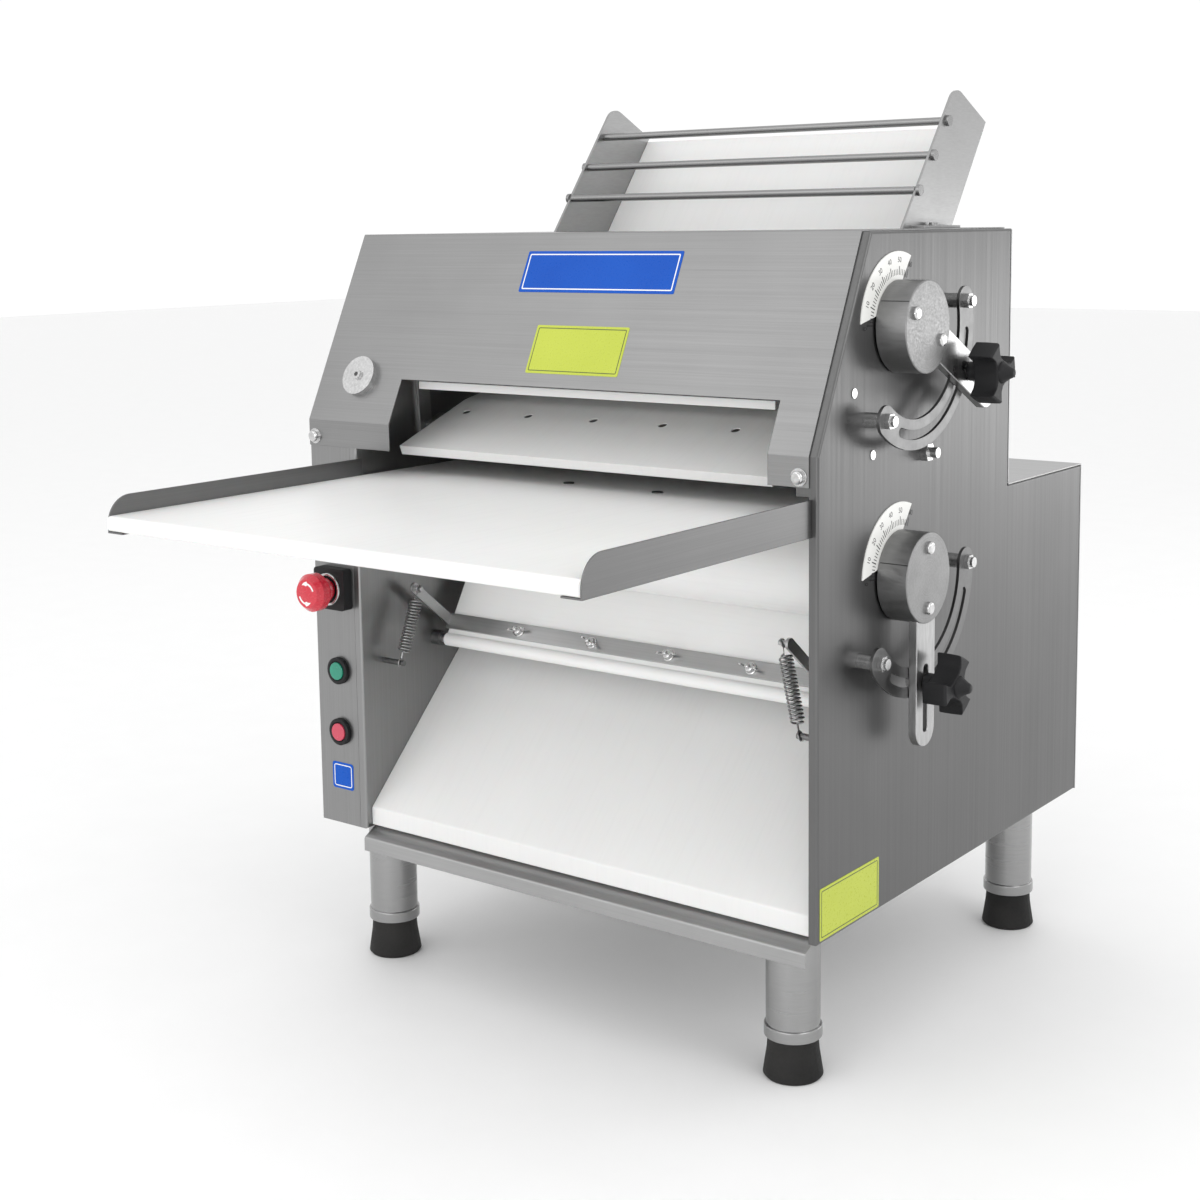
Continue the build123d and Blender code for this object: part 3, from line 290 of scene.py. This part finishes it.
spring_steel = brushed("dark_spring_steel", 0.3, (500, 500, 500), 0.3, 0.25, 0.0)
chain_steel = brushed("oiled_chain_steel", 0.14, (300, 300, 300), 0.4, 0.3)
plain_steel = brushed("turned_shaft_steel", 0.45, (900, 120, 120), 0.28)
cast_paint = plastic("grey_machine_paint", (0.13, 0.145, 0.16), (0.18, 0.195, 0.21), 0.42, 260.0, 0.2 * MM)
# The exit slide, hopper slide and lower chute get a duller white than the board: the plastic's white, lowered
# as painted shade for the throat under the hood.
slide_white_painted_shade = white_board("white_slide_plastic_painted_shade", 0.77, (260, 14, 14))
board_white = white_board("white_board_plastic", 0.82, (190, 12, 190))
roller_white = white_board("white_roller_plastic", 0.84, (14, 300, 300))
black_plastic = plastic(
    "black_moulded_plastic",
    (0.005, 0.005, 0.006),
    (0.01, 0.01, 0.011),
    0.5,
    Specular_IOR_Level=0.3,
)
black_rubber = plastic(
    "black_foot_rubber",
    (0.012, 0.012, 0.012),
    (0.028, 0.027, 0.026),
    0.66,
    420.0,
    0.15 * MM,
    Specular_IOR_Level=0.2,
)
red_gloss = plastic(
    "red_gloss_plastic",
    (0.52, 0.012, 0.03),
    (0.62, 0.02, 0.045),
    0.24,
    300.0,
    Coat_Weight=0.4,
)
green_gloss = plastic("green_lens_plastic", (0.0, 0.2, 0.12), (0.0, 0.27, 0.17), 0.2, 300.0, Coat_Weight=0.5)
rose_gloss = plastic("red_lens_plastic", (0.48, 0.03, 0.065), (0.58, 0.05, 0.1), 0.2, 300.0, Coat_Weight=0.5)
dial_paint = plastic("white_dial_enamel", (0.76, 0.76, 0.73), (0.84, 0.84, 0.82), 0.36, 500.0, 0.02 * MM, 0.0)
ink = plastic("black_dial_ink", (0.01, 0.01, 0.01), (0.02, 0.02, 0.02), 0.5, 500.0, 0.01 * MM, 0.0)
blue_print = plastic(
    "blue_printed_film",
    (0.0, 0.07, 0.42),
    (0.002, 0.085, 0.47),
    0.3,
    500.0,
    0.02 * MM,
    0.0,
    Specular_IOR_Level=0.2,
)
white_print = plastic("white_printed_film", (0.8, 0.8, 0.8), (0.86, 0.86, 0.86), 0.3, 500.0, 0.02 * MM, 0.0)
lime_print = plastic("lime_printed_film", (0.43, 0.5, 0.035), (0.47, 0.54, 0.045), 0.3, 500.0, 0.02 * MM, 0.0)
dark_print = plastic("dark_printed_film", (0.05, 0.07, 0.02), (0.07, 0.09, 0.03), 0.34, 500.0, 0.02 * MM, 0.0)

disc_aluminium = {
    side: turned(f"{side}_turned_aluminium", 0.28, centre, 0.38) for side, centre in gauge_axis.items()
}
lever_aluminium = brushed("lever_brushed_aluminium", 0.46, (300, 300, 60), 0.3, 0.12)

finishes = {
    hood_steel: ["hood"],
    side_steel_painted_shade: ["right_side_panel"],
    cover_steel: ["left_cover"],
    inner_steel: ["left_inner_wall"],
    floor_steel: ["bottom_plate"],
    back_steel: ["rear_cover", "upper_back_panel"],
    wing_steel: ["hopper_left_wing", "hopper_right_wing"],
    rail_steel: ["tray_frame"],
    bar_steel: ["throat_frame", "scraper_bar", "outboard_brackets"],
    tube_steel: ["leg_tubes"],
    rod_steel: ["guard_rods"],
    bright_steel: ["cover_bolts", "quadrant_posts", "upper_disc_screws", "lower_disc_screws"],
    polished_steel: ["gauge_quadrants"],
    dark_screw_and_socket_shade: ["board_screws"],
    stud_steel: ["scraper_mounts"],
    chain_steel: ["drive_chain"],
    plain_steel: [
        "upper_eccentric_shaft",
        "lower_eccentric_shaft",
        "upper_rear_shaft",
        "lower_rear_shaft",
        "upper_front_sprocket",
        "lower_front_sprocket",
        "shaft_bearings",
        "drive_sprocket",
        "estop_stem",
    ],
    cast_paint: ["motor", "gearbox"],
    slide_white_painted_shade: ["exit_slide", "hopper_slide", "lower_chute"],
    board_white: ["tray_board"],
    roller_white: [
        "upper_scraper",
        "scraper_blade",
        "upper_front_roller",
        "lower_front_roller",
        "upper_rear_roller",
        "lower_rear_roller",
    ],
    black_plastic: ["estop_base", "button_bodies", "cord_gland"],
    black_rubber: ["rubber_feet"],
    red_gloss: ["estop_head"],
    green_gloss: ["start_button"],
    rose_gloss: ["stop_button"],
    dial_paint: ["gap_dials"],
    disc_aluminium["upper"]: ["upper_disc"],
    disc_aluminium["lower"]: ["lower_disc"],
    lever_aluminium: ["upper_lever", "lower_lever"],
}
for material, names in finishes.items():
    for name in names:
        nodes[name].data.materials.clear()
        nodes[name].data.materials.append(material)


# ------------------------------------------------------------------ making pieces
def piece(name, mesh, material, body, smooth=35.0):
    """A finished mesh as an object that rides on a body."""
    data = bpy.data.meshes.new(name)
    bmesh.ops.recalc_face_normals(mesh, faces=mesh.faces)
    mesh.to_mesh(data)
    mesh.free()
    data.materials.append(material)
    if smooth:
        data.shade_smooth()
        data.set_sharp_from_angle(angle=math.radians(smooth))
    made = bpy.data.objects.new(name, data)
    bpy.context.scene.collection.objects.link(made)
    if body:
        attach(made, body)
    return made


def soften(made, width, segments=3):
    """Rounds a piece's sharp edges."""
    rounding = made.modifiers.new("rounded", "BEVEL")
    rounding.width = width
    rounding.segments = segments
    rounding.limit_method = "ANGLE"
    rounding.angle_limit = math.radians(30)
    made.modifiers.new("shading", "WEIGHTED_NORMAL").keep_sharp = True
    return made


def loft(mesh, rings, capped=True, closed=False):
    """Skins rings of points with the same count each."""
    rows = [[mesh.verts.new(point) for point in ring] for ring in rings]
    pairs = list(zip(rows, rows[1:]))
    if closed:
        pairs.append((rows[-1], rows[0]))
    for near, far in pairs:
        for i in range(len(near)):
            j = (i + 1) % len(near)
            mesh.faces.new((near[i], near[j], far[j], far[i]))
    if capped and not closed:
        mesh.faces.new(rows[0])
        mesh.faces.new(rows[-1])


def prism(mesh, outline, place, depth):
    """An outline of (x, y) points raised along the place's own z."""
    loft(mesh, [[place @ Vector((x, y, z)) for x, y in outline] for z in (0, depth)])


def lathe(mesh, profile, place, steps=48):
    """A (radius, height) profile turned about the place's own z, closed on itself."""
    closed = profile[0] == profile[-1]
    rings = []
    for radius, height in profile[:-1] if closed else profile:
        turns = [2 * math.pi * i / steps for i in range(steps)]
        rings.append([place @ Vector((radius * math.cos(t), radius * math.sin(t), height)) for t in turns])
    loft(mesh, rings, closed=closed)


def wire(mesh, points, radius, sides=10):
    """A round wire along points, its sections carried along without twist."""
    directions = [(b - a).normalized() for a, b in zip(points, points[1:])]
    directions.append(directions[-1])
    side = directions[0].orthogonal().normalized()
    rings = []
    for point, direction in zip(points, directions):
        side = (side - direction * side.dot(direction)).normalized()
        other = direction.cross(side)
        turns = [2 * math.pi * i / sides for i in range(sides)]
        rings.append([point + (side * math.cos(t) + other * math.sin(t)) * radius for t in turns])
    loft(mesh, rings)


def rounded_box(width, height, radius, steps=6):
    """The outline of a rectangle with round corners, about its middle."""
    points = []
    for quarter, (sx, sy) in enumerate(((1, 1), (-1, 1), (-1, -1), (1, -1))):
        for i in range(steps + 1):
            turn = math.pi / 2 * (quarter + i / steps)
            x = sx * (width / 2 - radius) + radius * math.cos(turn)
            y = sy * (height / 2 - radius) + radius * math.sin(turn)
            points.append((x, y))
    return points


# ------------------------------------------------------------------ stickers
film = 0.25 * MM


def sticker(name, centre, right, up, size, material, border=None, corner=1.5 * MM):
    """A printed film: a plain field, with an optional thin border."""
    place = frame_at(centre, right, up)
    field = bmesh.new()
    prism(field, rounded_box(*size, corner), place, film)
    piece(name, field, material, "machine")
    if border:
        inset, line, border_material = border
        outer = rounded_box(size[0] - 2 * inset, size[1] - 2 * inset, corner)
        inner = rounded_box(size[0] - 2 * (inset + line), size[1] - 2 * (inset + line), corner / 2)
        rim = bmesh.new()
        rings = [
            [place @ Vector((x, y, z)) for x, y in outline]
            for outline, z in ((outer, film), (outer, 1.4 * film), (inner, 1.4 * film), (inner, film))
        ]
        loft(rim, rings, closed=True)
        piece(name + "_border", rim, border_material, "machine")


sticker(
    "front_plate",
    on_slope(-15 * MM, 0.741),
    ACROSS,
    slope_up,
    (189 * MM, 44 * MM),
    blue_print,
    (3 * MM, 1.2 * MM, white_print),
)
sticker(
    "front_notice",
    on_slope(-16.5 * MM, 0.6672),
    ACROSS,
    slope_up,
    (112 * MM, 50 * MM),
    lime_print,
    (2.5 * MM, 0.8 * MM, dark_print),
)
sticker(
    "side_notice",
    Vector((right_x, front_y + 57 * MM, 0.179)),
    Vector((0, 1, 0)),
    UP,
    (106 * MM, 48 * MM),
    lime_print,
    (2.5 * MM, 0.8 * MM, dark_print),
)
sticker(
    "strip_mark",
    Vector((-315 * MM, front_y, 0.2045)),
    ACROSS,
    UP,
    (31 * MM, 29 * MM),
    blue_print,
    (2.5 * MM, 1.0 * MM, white_print),
    corner=3 * MM,
)

# ------------------------------------------------------------------ gap dials
dial_face_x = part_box("gap_dials")[1].x
dial_from, dial_to = 70.0, 177.0
dial_numbers = 6
minor_per_number = 5
index_turn = {"upper": 145, "lower": 156}
tick_root = 46.0 * MM


def dial_place(axis, radius, degrees):
    """A place on a dial's face, upright to someone who looks out from its axis."""
    angle = math.radians(degrees)
    outward = Vector((0, math.cos(angle), math.sin(angle)))
    along = outward.cross(ACROSS)
    return frame_at(Vector((dial_face_x, axis.y, axis.z)) + outward * radius, along, outward)


def digit(text, place, height):
    """The mesh of a number, centred on a place."""
    curve = bpy.data.curves.new("number", "FONT")
    curve.body = text
    curve.size = height * 1.4
    curve.align_x = "CENTER"
    curve.align_y = "CENTER"
    curve.extrude = 0.06 * MM
    shape = bpy.data.objects.new("number", curve)
    bpy.context.scene.collection.objects.link(shape)
    bpy.context.view_layer.update()
    data = bpy.data.meshes.new_from_object(shape.evaluated_get(bpy.context.evaluated_depsgraph_get()))
    bpy.data.objects.remove(shape)
    data.transform(place)
    return data


for side, axis in gauge_axis.items():
    marks = bmesh.new()
    steps = dial_numbers * minor_per_number
    for i in range(steps + 1):
        at = dial_to - (dial_to - dial_from) * i / steps
        major = i % minor_per_number == 0
        length, width = (8 * MM, 1.0 * MM) if major else (5.5 * MM, 0.7 * MM)
        outline = rounded_box(width, length, width / 5, 1)
        prism(marks, outline, dial_place(axis, tick_root + length / 2, at), 0.1 * MM)
    for i in range(dial_numbers + 1):
        at = dial_to - (dial_to - dial_from) * i / dial_numbers
        at += 2.5 if i == 0 else -2.0 if i == dial_numbers else 0
        marks.from_mesh(digit(str(i * 10), dial_place(axis, 59.5 * MM, at), 5.0 * MM))
    piece(f"{side}_dial_marks", marks, ink, "machine", smooth=0)

    index = bmesh.new()
    low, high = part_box(f"{side}_disc")
    radius = (high.y - low.y) / 2
    spot = yz(Vector(((low.x + high.x) / 2, axis.y, axis.z)), radius - 0.05 * MM, index_turn[side])
    outward = (spot - Vector((spot.x, axis.y, axis.z))).normalized()
    place = frame_at(spot, ACROSS, outward.cross(ACROSS))
    prism(index, rounded_box(high.x - low.x - 2 * MM, 0.9 * MM, 0.1 * MM, 1), place, 0.12 * MM)
    piece(f"{side}_index_line", index, ink, f"{side}_gauge")

# ------------------------------------------------------------------ clamp knobs
lobe_turn = 35
lobe_setback = 27.2 * MM  # lobes, from the back of the CAD knob
hollow_radius = 11.5 * MM
waist_radius, waist_half = 12.5 * MM, 6.2 * MM
tip_radius, tip_half = 27.5 * MM, 10.5 * MM


def lobed_outline(scale=1.0):
    """Three lobes that widen towards flat ends, with round hollows between them."""
    points = []
    for turn in (0, 120, 240):
        angle = math.radians(turn)
        out, side = Vector((math.cos(angle), math.sin(angle))), Vector((-math.sin(angle), math.cos(angle)))
        for along, across in (
            (waist_radius, -waist_half),
            (0.6 * waist_radius + 0.4 * tip_radius, -waist_half * 0.96),
            (0.25 * waist_radius + 0.75 * tip_radius, -0.5 * (waist_half + tip_half)),
            (tip_radius, -tip_half),
            (tip_radius + 0.5 * MM, 0),
            (tip_radius, tip_half),
            (0.25 * waist_radius + 0.75 * tip_radius, 0.5 * (waist_half + tip_half)),
            (0.6 * waist_radius + 0.4 * tip_radius, waist_half * 0.96),
            (waist_radius, waist_half),
        ):
            points.append((out * along + side * across) * scale)
        hollow = math.radians(turn + 60)
        points.append(Vector((math.cos(hollow), math.sin(hollow))) * hollow_radius * scale)
    return points


for side, centre in clamp_axis.items():
    low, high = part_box(f"{side}_knob")
    axis = gauge_axis[side]
    lever_way = Vector((0, centre.y - axis.y, centre.z - axis.z)).normalized()
    spin = Matrix.Rotation(math.radians(lobe_turn), 4, "Z")
    lobes_from = low.x + lobe_setback
    place = frame_at(Vector((lobes_from, centre.y, centre.z)), lever_way, ACROSS.cross(lever_way)) @ spin
    grip = bmesh.new()
    levels = ((0.0, 0.97), (1.2, 1.0), (12.0, 1.0), (22.4, 0.985), (24.0, 0.94))
    loft(grip, [[place @ Vector((*p, h * MM)) for p in lobed_outline(s)] for h, s in levels])
    soften(piece(f"{side}_knob_grip", grip, black_plastic, f"{side}_clamp"), 0.8 * MM, 3)

    hub = bmesh.new()
    nose = high.x - lobes_from
    neck = [(0.1, -10), (8.2, -10), (9.0, -9.2), (9.0, -5), (8.4, -1), (10, 4), (10, 20)]
    tip = nose / MM
    cone = [(10.5, 24.5), (8.5, 27), (5.8, tip - 4), (4.4, tip - 1), (3.4, tip), (0.1, tip)]
    lathe(hub, [(r * MM, h * MM) for r, h in neck + cone], place)
    piece(f"{side}_knob_hub", hub, black_plastic, f"{side}_clamp", 50)

    stud = bmesh.new()
    back = low.x - lobes_from
    reach = (-10 * MM - back) / MM
    profile = [(0.1, 0), (7.4, 0), (8, 0.6), (8, 5), (4, 5), (4, reach), (0.1, reach)]
    lathe(stud, [(r * MM, back + h * MM) for r, h in profile], place)
    stud_piece = piece(f"{side}_clamp_stud", stud, bright_steel, f"{side}_clamp")
    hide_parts(f"{side}_knob")

# ------------------------------------------------------------------ scraper springs and wing nuts
wire_radius = 0.95 * MM
coil_radius = 6.0 * MM
hook_yz = Vector((0, front_y + 64 * MM, 0.404))
stud_yz = Vector((0, front_y + 34 * MM, 0.329))
coil_end = 11.5 * MM  # hook and loop, outside the coil
bar_low, bar_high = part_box("scraper_blade")
spring_ends = {
    "left": (bar_low.x + 5 * MM, bar_low.x + 5 * MM),
    "right": (bar_high.x - 5 * MM, left_x + 582 * MM),
}
for side, (hook_x, stud_x) in spring_ends.items():
    hook = hook_yz + ACROSS * hook_x
    stud = stud_yz + ACROSS * stud_x
    along = (stud - hook).normalized()
    length = (stud - hook).length
    first = along.cross(ACROSS).normalized()
    second = along.cross(first)
    coil_from, coil_to = coil_end, length - coil_end
    turns = 18
    points = []
    loop = 4.0 * MM
    for i in range(13):
        angle = math.radians(200 + 320 * (1 - i / 12)) - math.pi / 9
        points.append(hook + along * loop * math.cos(angle) + first * loop * math.sin(angle))
    for i in range(turns * 18 + 1):
        turn = 2 * math.pi * i / 18
        ease = min(1.0, i / 9, (turns * 18 - i) / 9)
        radius = coil_radius * (0.35 + 0.65 * ease)
        at = coil_from + (coil_to - coil_from) * i / (turns * 18)
        points.append(hook + along * at + (first * math.cos(turn) + second * math.sin(turn)) * radius)
    loop = 4.5 * MM
    for i in range(13):
        angle = math.radians(170 - 320 * i / 12)
        points.append(stud - along * loop * math.cos(angle) + first * loop * math.sin(angle))
    coil = bmesh.new()
    wire(coil, points, wire_radius)
    spring = piece(f"{side}_scraper_spring", coil, spring_steel, None, 60)
    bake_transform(spring)
    if side == "left":
        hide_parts("scraper_springs")

roller_radius = 44.5 * MM
scraper_clear = 1.3 * MM
blade_foot = Vector((0, front_y + 110 * MM, 0.341))
lower_roller = Vector(joints["lower_front_spin"]["pos_m"])
blade_tip = yz(lower_roller, roller_radius + scraper_clear, -74.5)
blade_way = Vector((0, blade_tip.y - blade_foot.y, blade_tip.z - blade_foot.z)).normalized()
blade_out = ACROSS.cross(blade_way)
nut_base = blade_foot + blade_way * 19.5 * MM + blade_out * 3 * MM
wings = bmesh.new()
for i in range(4):
    spot = nut_base + ACROSS * (left_x + (183.5 + 97.4 * i) * MM)
    tilt = Matrix.Rotation(math.radians((12, -20, 8, -6)[i]), 4, "Z")
    place = frame_at(spot, ACROSS, blade_way) @ tilt
    boss = [(0.1, 0), (6.4, 0), (6.4, 1), (5.2, 1.4), (4.6, 5.4), (3.6, 6)]
    thread = [(2.4, 6), (2.4, 10.2), (1.9, 10.8), (0.1, 10.8)]
    lathe(wings, [(r * MM, h * MM) for r, h in boss + thread], place, 24)
    for way in (-1, 1):
        outline = []
        for j in range(13):
            turn = math.radians(-115 + 230 * j / 12)
            outline.append((way * (8.2 + 3.2 * math.cos(turn)) * MM, (6.6 + 3.6 * math.sin(turn)) * MM))
        outline.append((way * 3.6 * MM, 4.2 * MM))
        outline.append((way * 3.6 * MM, 1.2 * MM))
        stand = place @ Matrix.Translation((0, 1.2 * MM, 0)) @ Matrix.Rotation(math.pi / 2, 4, "X")
        prism(wings, outline, stand, 2.4 * MM)
wing_piece = soften(piece("scraper_wing_nuts", wings, bright_steel, "scraper"), 0.5 * MM, 2)
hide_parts("wing_nuts")

# ------------------------------------------------------------------ controls
estop = Vector(joints["estop_twist"]["pos_m"])
cap_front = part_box("estop_head")[0].y
base_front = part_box("estop_base")[0].y
face_place = frame_at(Vector((estop.x, cap_front, estop.z)), ACROSS, UP)
arrows = bmesh.new()
arrow_radius = 10.6 * MM
dome_slope = 0.0667  # fall of the cap's face for each metre out
for start in (20, 200):
    rings = []
    for j in range(15):
        turn = math.radians(start + 105 * j / 14)
        half = 1.0 * MM if j < 9 else (2.6 - 2.6 * (j - 9) / 5.2) * MM
        row = []
        inner, outer = arrow_radius - half, arrow_radius + half
        for radius, height in ((inner, 0.02), (outer, 0.02), (outer, 0.22), (inner, 0.22)):
            across, up = radius * math.cos(turn), radius * math.sin(turn)
            row.append(face_place @ Vector((across, up, height * MM - dome_slope * radius)))
        rings.append(row)
    loft(arrows, rings)
piece("estop_arrows", arrows, white_print, "estop_cap", smooth=0)

collar = bmesh.new()
collar_place = frame_at(Vector((estop.x, base_front, estop.z)), ACROSS, UP)
# wide enough for the pushed cap, whose flat back is 13 mm in radius
profile = [(14.6, 0), (17.6, 0), (17.6, 2.2), (16.9, 3.4), (15.0, 3.4), (14.6, 3.0), (14.6, 0)]
lathe(collar, [(r * MM, h * MM) for r, h in profile], collar_place)
piece("estop_collar", collar, bright_steel, "machine")

rings = bmesh.new()
for name in ("start_push", "stop_push"):
    low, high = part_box(name.replace("push", "button"))
    spot = Vector(((low.x + high.x) / 2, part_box("button_bodies")[0].y, (low.z + high.z) / 2))
    place = frame_at(spot, ACROSS, UP)
    outside = [(10.2, -1), (14.0, -1), (14.2, 0.0)]
    inside = [(13.4, 0.9), (11.0, 1.1), (10.2, 0.4), (10.2, -1)]
    lathe(rings, [(r * MM, h * MM) for r, h in outside + inside], place)
piece("button_rings", rings, black_plastic, "machine", 50)

# ------------------------------------------------------------------ hood details
lock_spot = on_slope(left_x + 59 * MM, slope_foot.z + 44.4 * MM)
lock_place = frame_at(lock_spot + slope_out * 10 * MM, ACROSS, slope_up)
# A flat dark hexagon, 0.15 mm thick, stands on the lock disc for its hex socket: painted shade for the
# socket's hollow, which is not modelled as a recess.
painted_socket_shade = bmesh.new()
shade_hex_radius = 2.6 * MM
corners = [math.radians(60 * i) for i in range(6)]
hexagon = [(shade_hex_radius * math.cos(turn), shade_hex_radius * math.sin(turn)) for turn in corners]
prism(painted_socket_shade, hexagon, lock_place, 0.15 * MM)
piece("lock_socket_painted_shade", painted_socket_shade, dark_screw_and_socket_shade, "machine", smooth=0)

# ------------------------------------------------------------------ floor, light and camera
floor_mesh = bmesh.new()
half = 14.0
field = [(-half, -half), (half, -half), (half, half), (-half, half)]
prism(floor_mesh, field, Matrix.Identity(4), -0.01)
floor_data = bpy.data.meshes.new("floor")
bmesh.ops.recalc_face_normals(floor_mesh, faces=floor_mesh.faces)
floor_mesh.to_mesh(floor_data)
floor_mesh.free()
pale = plastic("pale_floor", grey(0.9), grey(0.91), 0.6, 60.0, 0.0, 0.0)
floor_data.materials.append(pale)
floor = bpy.data.objects.new("floor", floor_data)
bpy.context.scene.collection.objects.link(floor)
floor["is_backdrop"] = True


def area_light(name, place, target, size, power):
    data = bpy.data.lights.new(name, "AREA")
    data.shape = "RECTANGLE"
    data.size, data.size_y = size
    data.energy = power
    lamp = bpy.data.objects.new(name, data)
    lamp.location = place
    lamp.rotation_euler = (Vector(target) - Vector(place)).to_track_quat("-Z", "Y").to_euler()
    bpy.context.scene.collection.objects.link(lamp)


area_light("key", (-1.6, -2.6, 2.6), (0, -0.1, 0.45), (2.2, 2.2), 12)
area_light("side", (2.3, -0.4, 1.9), (0.2, 0.1, 0.65), (1.2, 1.6), 12)
area_light("top", (0.2, 0.3, 3.0), (0, 0, 0.4), (2.6, 2.6), 5)
area_light("front", (0.3, -2.3, 0.75), (0, -0.05, 0.5), (1.8, 0.8), 11)
area_light("panel", (1.9, 3.0, 0.42), (0.33, 0.1, 0.62), (1.6, 0.6), 9)

world = bpy.data.worlds.new("studio")
world.use_nodes = True
sky = world.node_tree
sky_light = sky.nodes["Background"]
sky_light.inputs["Color"].default_value = (1, 1, 1, 1)
sky_light.inputs["Strength"].default_value = 1.02
bpy.context.scene.world = world
bpy.context.scene.view_settings.view_transform = "Standard"

yaw, pitch, roll = (math.radians(a) for a in (37.3, 7.29, -0.73))
view_way = Vector((-math.sin(yaw) * math.cos(pitch), math.cos(yaw) * math.cos(pitch), -math.sin(pitch)))
view_right = view_way.cross(UP).normalized()
view_up = view_right.cross(view_way)
rolled_right = view_right * math.cos(roll) + view_up * math.sin(roll)
rolled_up = view_up * math.cos(roll) - view_right * math.sin(roll)
camera_data = bpy.data.cameras.new("camera")
camera_data.lens = 54.97
camera_data.sensor_width = 36
camera_data.shift_x = -0.0091
camera_data.shift_y = -0.1167
camera = bpy.data.objects.new("camera", camera_data)
camera.matrix_world = frame_at(Vector((1.0705, -1.4676, 0.7854)), rolled_right, rolled_up)
bpy.context.scene.collection.objects.link(camera)
bpy.context.scene.camera = camera

low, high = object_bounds()
